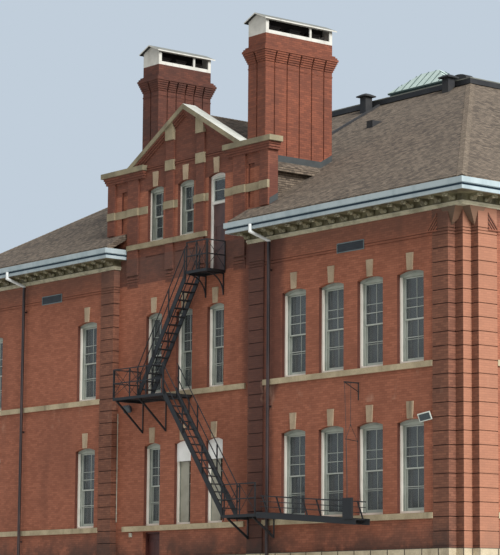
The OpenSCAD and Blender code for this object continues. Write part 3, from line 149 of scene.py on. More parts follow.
# Brick arches over the windows, and the fans beside the corner piers
KEYSTONE_HALF = 0.125
ARCH_BRICK = 0.075
ARCH_DEPTH = 0.22
ARCH_FACES = (-0.005, 0.02)
ARCH_CLEAR = 0.001
FAN_FRONT = 12.14
FAN_SIDE = 11.06
FAN_TOP = 11.13
FAN_HEIGHT = 0.48
FAN_SPREAD = 0.42
FAN_RIBS = 4
FAN_PROUD = 0.026
FAN_GROUND = 0.004
FAN_IN = 0.01
FAN_SILL = 0.03

# Eaves brackets; a scroll has its distance out, drop and radius, and the leaf's ends have the first two
BRACKET_PITCH = 0.56
BRACKET_HALF = 0.075
BRACKET_END = 0.25
BRACKET_BAY_END = 0.06
BRACKET_SCROLLS = ((0.44, 0.045, 0.042), (0.17, 0.115, 0.055))
SCROLL_TURNS = ((1.0, -0.004), (1.0, 0.008), (0.7, 0.012), (0.55, 0.005), (0.3, 0.016))
LEAF_HALF = 0.045
LEAF_FOOT = (0.49, 0.03)
LEAF_NOSE = (0.40, 0.085)
LEAF_T = (0.02, 0.03)

# Gable, chimneys and roof. By side, a chimney has its depth and the height of its top.
# Flues and the small vent's hood are rings of (half width, height); the skylight has length, width and rise.
GABLE_T = 0.34
GABLE_BACK = BAY_Y + GABLE_T
GABLE_HALF = 4.3
GABLE_RIDGE = 16.10
GABLE_SLOPE = 0.57
GABLE_END = (GABLE_RIDGE - GUTTER_TOP) / ROOF_SLOPE - EAVE - HALF_D
CHIMNEY_X = (2.77, 3.65)
CHIMNEY_BACK = 3.3 - HALF_D
CHIMNEYS = {1: (2.76, 18.11), -1: (2.22, 18.33)}
FLUE = ((0.22, 0.0), (0.20, 0.26), (0.23, 0.28), (0.23, 0.33), (0.15, 0.33), (0.15, 0.1))
FLUE_PLACES = (0.2, 0.5, 0.8)
# A dark plate inside each cap is painted shade in the cap's opening
SHADE_PLATE_HALF = 0.02
SHADE_PLATE_END = 0.06
SHADE_PLATE_SPAN = (0.34, 0.60)
CAP_PITCH = 0.14
CAP_LENGTH = 0.2
CAP_WIDTH = 0.15
CAP_LIFTS = (0.016, 0.014, 0.004, 0.006)
LEAD_T = 0.008
CHIMNEY_LEAD = (-0.02, 0.20)
GABLE_LEAD = (0.01, 0.22)
SKYLIGHT = (-0.8, -2.3, 18.21)
SKYLIGHT_SIZE = (3.0, 1.3, 0.60)
SKYLIGHT_RIDGE = ((1.1, 2.0), (0.6, 0.7))
SKYLIGHT_CURB = 0.06
SKYLIGHT_RIM = 0.05
HIP_EDGE = 0.01
SEAM_HALF = 0.012
SEAM_RISE = 0.020
LONG_SEAMS = 8
END_SEAMS = 5
SMALL_VENT = (3.70, -3.60)
SMALL_VENT_HALF = 0.15
SMALL_VENT_HOOD = ((0.25, 0.42), (0.25, 0.46), (0.10, 0.54))
HATCH = (3.1, -2.6, 18.02)
HATCH_HALF = 0.42
HATCH_RISE = 0.16
HATCH_LENGTH = 0.35

# Fire escape; a flight has its foot and head as (x, height), and the y of its near side
OUTER_Y = BAY_Y - 1.16
UPPER_Y = BAY_Y - 0.76
FLIGHTS = {"upper_treads": ((-1.48, 6.80), (1.05, 10.53), UPPER_Y),
           "lower_treads": ((3.618, 2.81), (0.44, 6.86), OUTER_Y)}
TREAD_RISE = 0.25
TREAD_DROP = 0.012
TREAD_SIZE = (0.21, 0.50, 0.025)
STRINGER_T = 0.03
HINGE = (5.26, OUTER_Y, 2.795)
DROP_REST = math.radians(4.2)
DROP_SWING = math.radians(33.0)
DROP_LEN = 4.45
DROP_STEPS = 18
DROP_TREAD_SIZE = (0.19, 0.50, 0.025)
GRATING_SIDE = 0.010
GRATING_END = 0.008
GRATING_BARS = 6
GRATING_BAR_HALF = 0.0025
GRATING_BAR_FOOT = 0.003
GRATING_CROSSES = 3
GRATING_CROSS_HALF = 0.003
GRATING_CROSS_DROP = 0.005

# Side door and wall fittings. Turned parts are (radius, distance along the axis); a blade is (depth, height).
# The conduit has x, foot and head, and its clips and box half width, how far they stand out, and half height.
# A lamp has x, wall, height and tilt in degrees; its housing is rings of (half width, half height, depth).
DOOR_SPAN = (-2.04, -1.24)
DOOR_FACE = -11.595
DOOR_PANEL_ROWS = ((0.32, 1.02), (1.18, 2.26))
DOOR_STILE = 0.10
DOOR_PANEL_FACES = (DOOR_FACE - 0.010, DOOR_FACE + 0.002)
DOOR_PANEL_SPLAY = 0.014
KNOB_PLATE = (DOOR_SPAN[1] - 0.085, 1.0, DOOR_SPAN[1] - 0.035, 1.22)
KNOB_PLATE_FACES = (DOOR_FACE - 0.004, DOOR_FACE + 0.001)
KNOB_PLACE = (DOOR_SPAN[1] - 0.06, DOOR_FACE, 1.12)
KNOB = ((0.012, 0.0), (0.010, 0.03), (0.026, 0.038), (0.032, 0.052), (0.026, 0.066), (0.010, 0.072))
VENT_SIZE = (1.22, 0.30)
VENT_Z = 10.48
VENT_PLACES = (8.3725, -7.33)
VENT_RIM = 0.03
VENT_PROUD = 0.022
VENT_BACK = 0.003
VENT_FOOT = 0.005
VENT_BLADES = 5
VENT_BLADE = ((-0.018, 0.0), (-0.015, -0.002), (-0.004, 0.022), (-0.006, 0.025))
CONDUIT = (-3.57, 2.86, 6.44)
CONDUIT_R = 0.014
CONDUIT_OUT = 0.018
CLIP_SIZE = (0.035, 0.006, 0.012)
CLIP_END = 0.3
OUTLET = (-2.75, 2.42)
OUTLET_SIZE = (0.06, 0.055, 0.07)
OUTLET_EASED = 0.006
LAMPS = ((11.55, -HALF_D, 5.33, -25.0), (-3.02, BAY_Y, 6.50, 0.0))
LAMP_FOOT = ((-0.14, -0.012, -0.02), (-0.04, 0.0, 0.14))
LAMP_ROOT = (-0.09, -0.006, 0.08)
LAMP_KNEE = (-0.09, -0.10, 0.10)
LAMP_NECK = (0.08, -0.14, 0.07)
LAMP_ARM_R = (0.022, 0.020)
LAMP_JOINT = ((0.045, 0.0), (0.05, 0.02), (0.045, 0.05))
LAMP_JOINT_PLACE = (-0.09, -0.13, 0.10)
LAMP_MIDDLE = (0.20, -0.14, 0.06)
LAMP_DROOP = 20
LAMP_HOUSING = ((0.19, 0.12, -0.085), (0.195, 0.125, -0.07), (0.18, 0.11, -0.02), (0.11, 0.07, 0.06),
                (0.06, 0.04, 0.08))
LAMP_EASED = 0.006
LENS_DEPTH = (-0.090, -0.084)
LENS = (-0.165, -0.095, 0.165, 0.095)


def roof_height(run):
    """Height of the main roof at a distance in from the wall line."""
    return GUTTER_TOP + ROOF_SLOPE * (run + EAVE)


# Shader maths

class Wire:
    """An output of a node. Arithmetic on it adds Math nodes to its finish."""

    def __init__(self, finish, socket):
        self.finish = finish
        self.socket = socket

    def out(self, name):
        return Wire(self.finish, self.socket.node.outputs[name])

    def maths(self, operation, *values):
        return self.finish.node("Math", {"operation": operation}, dict(enumerate(values)))

    def __gt__(self, other):
        return self.maths("GREATER_THAN", self, other)

    def __lt__(self, other):
        return self.maths("LESS_THAN", self, other)

    def __abs__(self):
        return self.maths("ABSOLUTE", self)

    def floor(self):
        return self.maths("FLOOR", self)

    def fraction(self):
        return self.maths("FRACT", self)

    def at_most(self, other):
        return self.maths("MINIMUM", self, other)

    def ramp(self, low, high):
        """0 at low, 1 at high and a smooth run between them."""
        return self.finish.node("MapRange", {"interpolation_type": "SMOOTHSTEP"},
                                {"Value": self, "From Min": low, "From Max": high})


def overload(operator, operation):
    """Makes an operator on a Wire, and its reflected form, add a Math node."""
    setattr(Wire, "__%s__" % operator, lambda wire, other: wire.maths(operation, wire, other))
    setattr(Wire, "__r%s__" % operator, lambda wire, other: wire.maths(operation, other, wire))


for operator, operation in (("add", "ADD"), ("sub", "SUBTRACT"), ("mul", "MULTIPLY"), ("truediv", "DIVIDE"),
                            ("mod", "FLOORED_MODULO")):
    overload(operator, operation)


class Finish:
    """A procedural material whose nodes are written as Python expressions."""

    def __init__(self, name):
        self.material = bpy.data.materials.new(name)
        self.material.use_nodes = True
        self.tree = self.material.node_tree
        self.shader = self.tree.nodes["Principled BSDF"]

    def node(self, kind, settings=None, values=None, out=0):
        made = self.tree.nodes.new("ShaderNode" + kind)
        for name, setting in (settings or {}).items():
            setattr(made, name, setting)
        for socket, value in (values or {}).items():
            self.feed(made.inputs[socket], value)
        return Wire(self, made.outputs[out])

    def feed(self, socket, value):
        if isinstance(value, Wire):
            self.tree.links.new(value.socket, socket)
        else:
            socket.default_value = value

    def mix(self, factor, first, second):
        """Colour first where factor is 0 and second where it is 1."""
        return self.node("Mix", {"data_type": "RGBA"},
                         {0: factor, 6: colour_value(first), 7: colour_value(second)}, out=2)

    def axes(self, vector):
        split = self.node("SeparateXYZ", {}, {"Vector": vector})
        return split, split.out("Y"), split.out("Z")

    def where(self):
        """Place on the building, in metres, as x, y and z."""
        return self.axes(self.node("TexCoord", out="Object"))

    def facing(self):
        """Direction that the surface faces, as x, y and z."""
        return self.axes(self.node("NewGeometry", out="True Normal"))

    def noise(self, scale, detail=3.0, roughness=0.55, stretch=None):
        vector = self.node("TexCoord", out="Object")
        if stretch:
            vector = self.node("VectorMath", {"operation": "MULTIPLY"}, {0: vector, 1: stretch})
        return self.node("TexNoise", {}, {"Vector": vector, "Scale": scale, "Detail": detail,
                                          "Roughness": roughness})

    def patches(self, scale=2.6, detail=5.0, stretch=None):
        """Soft patches of wear."""
        return self.noise(scale, detail, stretch=stretch).ramp(0.38, 0.72)

    def streaks(self, scale, stretch, low, high):
        """Upright streaks, as rain leaves them."""
        return self.noise(scale, 3.0, stretch=(1.0, 1.0, stretch)).ramp(low, high)

    def bump(self, height, depth, strength):
        return self.node("Bump", {}, {"Height": height, "Distance": depth, "Strength": strength})

    def brush_marks(self):
        return self.bump(self.noise(38.0), 0.0008, 0.5)

    def use(self, colour, roughness, normal=None, **others):
        """Feeds the shader, and gives the material."""
        self.feed(self.shader.inputs["Base Color"], colour_value(colour))
        self.feed(self.shader.inputs["Roughness"], roughness)
        if normal:
            self.feed(self.shader.inputs["Normal"], normal)
        for name, value in others.items():
            self.feed(self.shader.inputs[name], value)
        return self.material


def linear(channel):
    channel /= 255.0
    return channel / 12.92 if channel <= 0.04045 else ((channel + 0.055) / 1.055) ** 2.4


def colour_value(colour):
    """A colour given in 0 to 255 steps as the linear values that a socket takes."""
    return colour if isinstance(colour, Wire) else (*[linear(channel) for channel in colour], 1.0)


def shade(colour, share, lift=0):
    """A colour made darker, or paler and lifted."""
    return [min(255, channel * share + lift) for channel in colour]


# Brickwork

# A surface faces right or left where the x of its direction is beyond this
SIDEWAYS = 0.7

# Where stains, painted light and painted shade fade in or out: heights, and places along the front for the
# edges of the painted shadow by the pipe
# Heights over which the wall gets darker just under the eaves
EAVES_DARKENING = (10.6, 11.5)
EAVES_DARKENING_END = WALL_TOP + 0.3
PIPE_SHADOW_LEFT = (3.0, 3.6)
PIPE_SHADOW_RIGHT = (5.3, 5.7)
PIPE_SHADOW_WIDENS = (5.9, 7.2)
PIPE_SHADOW_NARROWER = 0.55
FOOT_DIRT = (2.1, 3.3)
SALTS = (SILLS[1] - 1.0, SILLS[1])
# Painted sunlight on right-facing pier faces starts here
PAINTED_SUN_FROM = HALF_W - 0.5
# Painted shade in the window reveals stops here, short of the corner
REVEALS_TO = HALF_W - 0.02
COVE = (STRING_TOP, WALL_TOP + 0.01)


def along_wall(finish):
    """Distance along the wall, and height."""
    x, y, z = finish.where()
    side = abs(finish.facing()[0]) > SIDEWAYS
    return x * (1 - side) + y * side, z


def along_slope(finish):
    """As along_wall, on the slopes of the roof."""
    x, y, z = finish.where()
    across, ahead = finish.facing()[:2]
    side = abs(across) > abs(ahead)
    return x * (1 - side) + y * side, z


def courses(finish, along, height, course, length, joint, shift=0.5):
    """Bonded units in a wall or roof: (a random value for each unit, 0 in the joints and 1 on the faces)."""
    row = (height / course).floor()
    column = along / length + (row % 2) * shift
    edge_v = (0.5 - abs((height / course).fraction() - 0.5)) * course
    edge_u = (0.5 - abs(column.fraction() - 0.5)) * length
    face = edge_v.at_most(edge_u).ramp(joint * 0.35, joint * 0.8)
    unit = finish.node("CombineXYZ", {}, {"X": column.floor(), "Y": row})
    chance = finish.node("TexWhiteNoise", {"noise_dimensions": "3D"}, {"Vector": unit}, out="Value")
    return chance, face


def darken_walls(finish, colour):
    """Darker just under the eaves, and painted shadow round the downpipe beside the bay."""
    x, y, z = finish.where()
    # The wall gets darker towards the top, just under the eaves
    darkening = (z + finish.noise(1.7) * 0.6).ramp(*EAVES_DARKENING) * (z < EAVES_DARKENING_END)
    colour = finish.mix(darkening * 0.45, colour, (84, 66, 58))
    # Painted shadow on the front round the downpipe beside the bay
    edge = x + finish.noise(1.1) * 0.5
    narrow = (1 - z.ramp(*PIPE_SHADOW_WIDENS)) * PIPE_SHADOW_NARROWER
    darkening = (edge - narrow).ramp(*PIPE_SHADOW_LEFT) * (1 - (edge + narrow).ramp(*PIPE_SHADOW_RIGHT))
    on_front = (y < 1 - HALF_D) * (z < WALL_TOP)
    return finish.mix(darkening * on_front * 0.66, colour, (70, 38, 32))


def soil_walls(finish, colour):
    """Dirt near the ground, and pale salts under the upper sills."""
    z = finish.where()[2]
    dirt = 1 - (z + finish.noise(1.4, 4.0) * 0.9).ramp(*FOOT_DIRT)
    dirt = dirt * finish.noise(0.8, 5.0, 0.65).ramp(0.36, 0.60)
    colour = finish.mix(dirt * 0.80, colour, (58, 44, 38))
    salts = finish.noise(1.6, 5.0, 0.65, stretch=(1.0, 1.0, 0.5)).ramp(0.56, 0.74)
    salts = salts * (z > SALTS[0]) * (z < SALTS[1])
    return finish.mix(salts * 0.35, colour, (206, 168, 144))


def shade_grooves_light_sides(finish, colour, painted_sun):
    """Painted shade in the grooves of the corner piers, up to their heads, and painted sunlight on their
    right-facing faces.
    """
    x, z = finish.where()[::2]
    # Painted shade inside the grooves
    groove = ((z - GROOVE_START) % GROOVE_PITCH < GROOVE_HEIGHT) * (z < GROOVE_START + GROOVE_PITCH / 2)
    colour = finish.mix(groove * 0.7, colour, (52, 26, 20))
    # Painted sunlight on the right-facing faces
    sunny = (finish.facing()[0] > SIDEWAYS) * (x > PAINTED_SUN_FROM)
    return finish.mix(sunny * painted_sun, colour, (216, 152, 120))


def brick_finish(name, light, dark, soot=0.0, reveal_shade=0.0, painted_sun=0.0):
    """Painted brickwork: bonded courses, weather streaks, darkening under the eaves, and where the building
    has them, painted shadow by the downpipe, painted shade in reveals and grooves and painted sunlight on
    pier sides.
    """
    finish = Finish(name)
    chance, face = courses(finish, *along_wall(finish), BRICK_COURSE, BRICK_LENGTH, BRICK_JOINT)
    body = finish.mix(chance * 0.8 + 0.1, dark, light)
    body = finish.mix(finish.noise(0.45, 4.0).ramp(0.42, 0.72) * 0.45, body, shade(dark, 0.84))
    bloom = finish.noise(0.8, 5.0, 0.6, stretch=(1.0, 1.0, 0.6)).ramp(0.62, 0.80)
    body = finish.mix(bloom * 0.30, body, shade(light, 1.14, 12))
    body = finish.mix(finish.streaks(1.3, 0.12, 0.52, 0.78) * 0.35, body, shade(dark, 0.70))
    colour = finish.mix(face, shade(dark, 0.85), body)
    colour = darken_walls(finish, colour)
    if soot:
        colour = finish.mix(finish.noise(0.9, 4.0).ramp(0.40, 0.75) * soot, colour, (58, 40, 34))
    colour = soil_walls(finish, colour)
    if painted_sun:
        colour = shade_grooves_light_sides(finish, colour, painted_sun)
    across, up = finish.facing()[::2]
    x, z = finish.where()[::2]
    if reveal_shade:
        # Painted shade on the right-facing window reveals
        inside = (across > SIDEWAYS) * (x < REVEALS_TO)
        colour = finish.mix(inside * reveal_shade, colour, (70, 34, 28))
    cove = (up < -0.12) * (z > COVE[0]) * (z < COVE[1])
    colour = finish.mix(cove * 0.55, colour, (100, 90, 72))
    relief = face * 0.8 + finish.noise(60.0, 2.0) * 0.25
    return finish.use(colour, 0.82, finish.bump(relief, 0.004, 0.7))


# Stone, shingles and boards

def stone_finish(name, light, dark, block=None):
    """Weathered stone; block gives the height and length of rock-faced blocks."""
    finish = Finish(name)
    cloud = finish.noise(1.6, 5.0)
    grain = finish.noise(24.0, 4.0)
    colour = finish.mix(cloud.ramp(0.30, 0.70), dark, light)
    colour = finish.mix(grain.ramp(0.45, 0.8) * 0.4, colour, shade(dark, 0.72))
    colour = finish.mix(finish.streaks(2.2, 0.2, 0.55, 0.8) * 0.5, colour, (74, 66, 54))
    height, depth = grain * 0.6 + cloud * 0.4, 0.006
    if block:
        chance, face = courses(finish, *along_wall(finish), *block, BLOCK_JOINT)
        colour = finish.mix(chance * 0.35, colour, shade(dark, 0.82))
        colour = finish.mix(face, (88, 80, 68), colour)
        height = face * (finish.noise(4.5, 5.0, 0.62) * 0.9 + 0.6) + grain * 0.08
        depth = 0.045
    return finish.use(colour, 0.86, finish.bump(height, depth, 0.9))


def coping_finish():
    """Dark weathered stone whose upper faces are painted pale, as painted light from above."""
    finish = Finish("weathered coping")
    cloud = finish.noise(1.8, 5.0).ramp(0.30, 0.70)
    dull = finish.mix(cloud, (122, 114, 92), (156, 146, 118))
    pale = finish.mix(cloud, (186, 188, 178), (206, 208, 200))
    grain = finish.noise(24.0, 4.0)
    # Painted light: upper faces paler
    colour = finish.mix(finish.facing()[2] > 0.5, dull, pale)
    colour = finish.mix(grain.ramp(0.5, 0.8) * 0.35, colour, (84, 80, 66))
    return finish.use(colour, 0.85, finish.bump(grain, 0.004, 0.8))


def shingle_finish(name, light, dark):
    """Laminated shingles: each tab has its own brown, with dark gaps between tabs and painted shade under the
    butt edges.
    """
    finish = Finish(name)
    along, height = along_slope(finish)
    rise = SHINGLE_COURSE * math.sin(math.atan(ROOF_SLOPE))
    level = height - GUTTER_TOP
    chance = courses(finish, along, level, rise, SHINGLE_TAB * 0.55, SHINGLE_SEAM, 0.37)[0]
    gap = courses(finish, along, level, rise, SHINGLE_TAB, SHINGLE_GAP)[1]
    # Painted shade under each butt edge
    butt = (level / rise).fraction().ramp(0.0, 0.30)
    colour = finish.mix(chance, dark, light)
    colour = finish.mix(finish.noise(420.0, 2.0).ramp(0.35, 0.65) * 0.35, colour, shade(dark, 0.66))
    colour = finish.mix(finish.noise(0.5, 4.0).ramp(0.35, 0.7) * 0.35, colour, shade(light, 0.88))
    mottle = finish.noise(5.5, 3.0, 0.7)
    colour = finish.mix(mottle.ramp(0.50, 0.66) * 0.45, colour, shade(dark, 0.78))
    colour = finish.mix((1 - mottle).ramp(0.52, 0.68) * 0.35, colour, shade(light, 1.12))
    colour = finish.mix(gap, shade(dark, 0.60), colour)
    colour = finish.mix(butt, shade(dark, 0.55), colour)
    relief = chance * 0.4 + butt * 0.6 + finish.noise(300.0, 2.0) * 0.3
    return finish.use(colour, 0.93, finish.bump(relief, 0.006, 0.9))


def floor_finish():
    """Boards that run along x, each in its own brown."""
    finish = Finish("floor boards")
    chance, face = courses(finish, *finish.where()[:2], *BOARD_SIZE, BOARD_GAP, 0.41)
    grain = finish.noise(18.0, 4.0, stretch=(0.08, 1.0, 1.0))
    colour = finish.mix(chance, (96, 66, 40), (132, 94, 58))
    colour = finish.mix(grain.ramp(0.4, 0.8) * 0.5, colour, (70, 46, 28))
    return finish.use(finish.mix(face, (30, 20, 12), colour), 0.5, finish.bump(face, 0.002, 0.6))


def concrete_finish():
    finish = Finish("floor concrete")
    colour = finish.mix(finish.noise(0.8, 5.0).ramp(0.3, 0.7), (118, 115, 108), (148, 145, 138))
    return finish.use(colour, 0.85, finish.bump(finish.noise(60.0, 4.0), 0.002, 0.6))


# Paint, metal and glass

def paint_finish(name, colour, worn, roughness=0.45, metallic=0.0):
    """Exterior paint, faded in patches and specked with dirt."""
    finish = Finish(name)
    painted = finish.mix(finish.patches() * 0.6, colour, worn)
    specks = finish.noise(55.0).ramp(0.66, 0.80)
    painted = finish.mix(specks * 0.35, painted, shade(worn, 0.55))
    return finish.use(painted, roughness + finish.noise(9.0) * 0.18, finish.brush_marks(), Metallic=metallic)


def iron_finish():
    """Black painted iron with rust breaking through."""
    finish = Finish("black iron paint")
    rust = finish.noise(7.0, 6.0, 0.68).ramp(0.60, 0.74)
    colour = finish.mix(finish.noise(3.0), (13, 14, 16), (27, 28, 30))
    colour = finish.mix(rust * 0.6, colour, (58, 34, 26))
    return finish.use(colour, 0.58 + rust * 0.3, finish.bump(finish.noise(90.0, 4.0), 0.0012, 0.6))


def glass_finish(name, tint, clear):
    """Old glass that is clear enough to show the blinds and gives back the sky."""
    finish = Finish(name)
    waves = finish.noise(0.9, 2.0)
    colour = finish.mix(waves, shade(tint, 0.7), tint)
    return finish.use(colour, 0.05, finish.bump(waves, 0.01, 0.4), Alpha=1.0 - clear, IOR=1.52)


def blind_finish():
    finish = Finish("blind slats")
    weave = finish.noise(160.0, 2.0, stretch=(1.0, 1.0, 0.15))
    colour = finish.mix(finish.noise(1.4), (186, 190, 188), (220, 222, 216))
    return finish.use(colour, 0.8, finish.bump(weave, 0.001, 0.4))


def cap_finish():
    """Sheet caps: white sides, a grey weathered roof and painted shade on the underside."""
    finish = Finish("cap sheet")
    up = finish.facing()[2]
    patches = finish.patches(3.0)
    white = finish.mix(patches * 0.6, (214, 212, 202), (180, 178, 168))
    roof = finish.mix(patches, (128, 128, 118), (104, 104, 96))
    white = finish.mix(finish.streaks(4.0, 0.1, 0.55, 0.75) * 0.35, white, (120, 112, 98))
    colour = finish.mix(up > 0.3, white, roof)
    # Painted shade on the underside
    colour = finish.mix(up < -0.3, colour, (34, 34, 34))
    return finish.use(colour, 0.5, finish.bump(finish.noise(30.0), 0.001, 0.5))


def cornice_finish():
    """Olive eaves with dark drips, over a cream bed mould."""
    finish = Finish("eaves paint")
    patches = finish.patches(3.4)
    olive = finish.mix(patches, (122, 116, 88), (68, 62, 44))
    cream = finish.mix(patches, (194, 188, 162), (150, 144, 120))
    olive = finish.mix(finish.streaks(3.0, 0.15, 0.5, 0.75) * 0.5, olive, (62, 58, 42))
    colour = finish.mix(finish.where()[2] < BED_TOP + 0.002, olive, cream)
    return finish.use(colour, 0.6, finish.bump(finish.noise(40.0), 0.001, 0.5))


def fire_door_finish():
    """White jambs and sash, and a dark brown leaf below the sash."""
    finish = Finish("fire door paint")
    x, z = finish.where()[::2]
    left, right, top = FIRE_LEAF
    leaf = (x > left) * (x < right) * (z < top)
    patches = finish.patches()
    white = finish.mix(patches * 0.5, (232, 230, 222), (204, 202, 192))
    brown = finish.mix(patches, (92, 62, 56), (70, 46, 42))
    return finish.use(finish.mix(leaf, white, brown), 0.45, finish.brush_marks())


def frame_finish():
    """Cream frames with painted shade: grey green deeper in toward the sashes and at the head, and dark deep
    in the attic frames.
    """
    finish = Finish("window frame paint")
    x, y, z = finish.where()
    recess = (abs(x) < BAY_HALF) * (y < 0.0) * BAY_BACK
    depth = (HALF_D - abs(y) - recess).at_most(HALF_W - abs(x))
    patches = finish.patches()
    cream = finish.mix(patches * 0.6, (250, 245, 232), (232, 226, 210))
    grey = finish.mix(patches, (156, 162, 151), (128, 134, 123))
    # Painted shade: grey green past the shade depth, and in a band at each head
    frame_shade = depth > FRAME_SHADE_DEPTH
    for top in (SILLS[0] + WINDOW_H, SILLS[1] + WINDOW_H, ATTIC_SILL + ATTIC_WINDOW_H):
        frame_shade = frame_shade + (z > top + FRAME_HEAD[0]) * (z < top + FRAME_HEAD[1])
    # Painted shade: attic frames dark deep in
    cream = finish.mix((z > ATTIC_SILL) * (depth > ATTIC_FRAME_SHADE_DEPTH), cream, (96, 99, 90))
    return finish.use(finish.mix(frame_shade.at_most(1.0), cream, grey), 0.5, finish.brush_marks())


def pipe_finish():
    """Brown downpipes with white elbows under the gutter."""
    finish = Finish("pipe paint")
    patches = finish.noise(2.6, 5.0, stretch=(1.0, 1.0, 0.3)).ramp(0.42, 0.70)
    brown = finish.mix(patches, (33, 21, 20), (60, 43, 40))
    white = finish.mix(patches * 0.6, (222, 226, 224), (184, 190, 188))
    return finish.use(finish.mix(finish.where()[2] > ELBOW_FOOT, brown, white), 0.45)


def gutter_finish():
    """Pale metal with painted shade in the gap between the fascia and the gutter."""
    finish = Finish("gutter paint")
    z = finish.where()[2]
    pale = finish.mix(finish.patches(2.0, 4.0, (1.0, 1.0, 0.3)), (180, 194, 197), (158, 174, 178))
    # Painted shade in the gap
    gap = (z > FASCIA_GAP[0]) * (z < FASCIA_GAP[1])
    return finish.use(finish.mix(gap, pale, (58, 82, 98)), 0.5)


def deck_finish():
    """Black edge metal with a grey weathered top."""
    finish = Finish("deck edge metal")
    patches = finish.patches(2.0, 4.0)
    black = finish.mix(patches, (26, 26, 28), (44, 43, 43))
    grey = finish.mix(patches, (122, 124, 114), (96, 98, 90))
    return finish.use(finish.mix(finish.where()[2] > DECK_SHEET, black, grey), 0.6)


BRICK = brick_finish("red brick", (175, 108, 81), (146, 86, 62))
# Pier brick darker than the wall's as painted shade on the stepped fronts, with painted sunlight on
# right-facing faces; the soot is real
CORNER_BRICK = brick_finish("pier brick with painted shade and sunlight", (140, 91, 69), (113, 70, 52), soot=0.12, painted_sun=0.38)
PIER_BRICK = brick_finish("red brick with painted shade in reveals", (175, 108, 81), (146, 86, 62), reveal_shade=0.75)
GABLE_BRICK = brick_finish("sheltered brick", (135, 80, 60), (106, 61, 45), soot=0.15)
CHIMNEY_BRICK = brick_finish("chimney brick", (142, 80, 56), (110, 60, 42), soot=0.15)
DARK_BRICK = brick_finish("shadowed brick", (92, 52, 42), (72, 42, 34))
# Darker than the right chimney's brick: partly soot, partly painted shade on the left chimney
SOOTY_SHADED_BRICK = brick_finish("sooty chimney brick with painted shade", (108, 61, 45), (80, 43, 31), soot=0.40)
STONE = stone_finish("buff sandstone", (196, 181, 149), (166, 151, 122))
KEYSTONE = stone_finish("brown sandstone", (188, 168, 140), (160, 140, 115))
GABLE_STONE = stone_finish("weathered sandstone", (166, 154, 126), (140, 128, 102))
COPING = coping_finish()
PLINTH_STONE = stone_finish("rock faced stone", (216, 202, 172), (180, 166, 138), BLOCK_SIZE)
SHINGLE = shingle_finish("brown shingles", (142, 126, 108), (84, 72, 60))
CAP_SHINGLE = shingle_finish("pale cap shingles", (158, 142, 122), (120, 106, 91))
WHITE = paint_finish("white board paint", (252, 252, 248), (236, 238, 232))
SASH = paint_finish("weathered sash paint", (204, 209, 200), (174, 181, 170))
# The linings' grey green is painted shade deep in the window openings
LINING = paint_finish("lining paint with painted shade", (172, 178, 166), (146, 152, 140))
FRAME = frame_finish()
GUTTER = gutter_finish()
DECK_EDGE = deck_finish()
PANEL = paint_finish("grey panel paint", (178, 176, 160), (150, 146, 130))
DOOR_RED = paint_finish("dark red door paint", (82, 40, 34), (60, 30, 26))
VENT_DARK = paint_finish("dark vent metal", (62, 68, 74), (44, 48, 52), 0.6)
VENT = paint_finish("grey vent metal", (118, 130, 130), (88, 98, 100), 0.5)
DECK = paint_finish("black deck metal", (38, 38, 40), (58, 56, 54), 0.6)
SEAM = paint_finish("pale seamed roof metal", (190, 208, 200), (156, 174, 166), 0.4)
SEAM_EDGE = paint_finish("dark seam metal", (52, 74, 70), (40, 56, 54), 0.4)
SCROLL = paint_finish("pale scroll paint", (170, 166, 140), (120, 114, 90), 0.6)
LEAD = paint_finish("grey lead", (62, 66, 66), (44, 48, 48), 0.6)
SOOT_AND_SHADE = paint_finish("sooty clay and painted shade", (40, 34, 30), (26, 24, 22), 0.9)
BRASS = paint_finish("worn brass", (150, 122, 70), (96, 78, 48), 0.35, metallic=0.8)
CAP = cap_finish()
OLIVE = cornice_finish()
FIRE_DOOR_PAINT = fire_door_finish()
PIPE = pipe_finish()
IRON = iron_finish()
GLASS = glass_finish("window glass", (112, 122, 126), 0.55)
LENS_GLASS = glass_finish("lamp glass", (60, 74, 80), 0.1)
BLIND = blind_finish()
BOARDS = floor_finish()
CONCRETE = concrete_finish()

NODE_FINISHES = {
    BRICK: ["right_wing_front", "left_wing_front", "bay_front", "right_wall", "left_wall", "back_wall"],
    CORNER_BRICK: ["wing_piers"],
    PIER_BRICK: ["front_window_piers", "side_window_piers", "back_window_piers"],
    GABLE_BRICK: ["gable_front", "gable_trim"],
    CHIMNEY_BRICK: ["chimney_right"],
    SOOTY_SHADED_BRICK: ["chimney_left"],
    STONE: ["sill_bands"],
    KEYSTONE: ["keystones"],
    GABLE_STONE: ["attic_bands"],
    COPING: ["coping"],
    PLINTH_STONE: ["plinth_front", "plinth_sides", "plinth_back"],
    SHINGLE: ["roof_front", "roof_right", "roof_left", "roof_back", "gable_roof", "gable_cheeks"],
    FRAME: ["window_frames"],
    CAP: ["chimney_caps"],
    GUTTER: ["gutters"],
    OLIVE: ["cornice"],
    DOOR_RED: ["side_door", "door_frame"],
    FIRE_DOOR_PAINT: ["fire_door"],
    PIPE: ["downpipes"],
    DECK_EDGE: ["roof_deck"],
    DECK: ["roof_vents"],
    SEAM: ["skylight"],
    BOARDS: ["first_floor", "second_floor", "attic_floor"],
    CONCRETE: ["ground_floor"],
}


def dress_nodes():
    """Gives every node of the construction its finish; ironwork is what is left."""
    finish_of = {node: finish for finish, nodes in NODE_FINISHES.items() for node in nodes}
    for name, node in NODES.items():
        for slot in node.material_slots:
            slot.material = finish_of.get(name, IRON)


# Shapes

def put_in_scene(name, data):
    made = bpy.data.objects.new(name, data)
    bpy.context.scene.collection.objects.link(made)
    return made


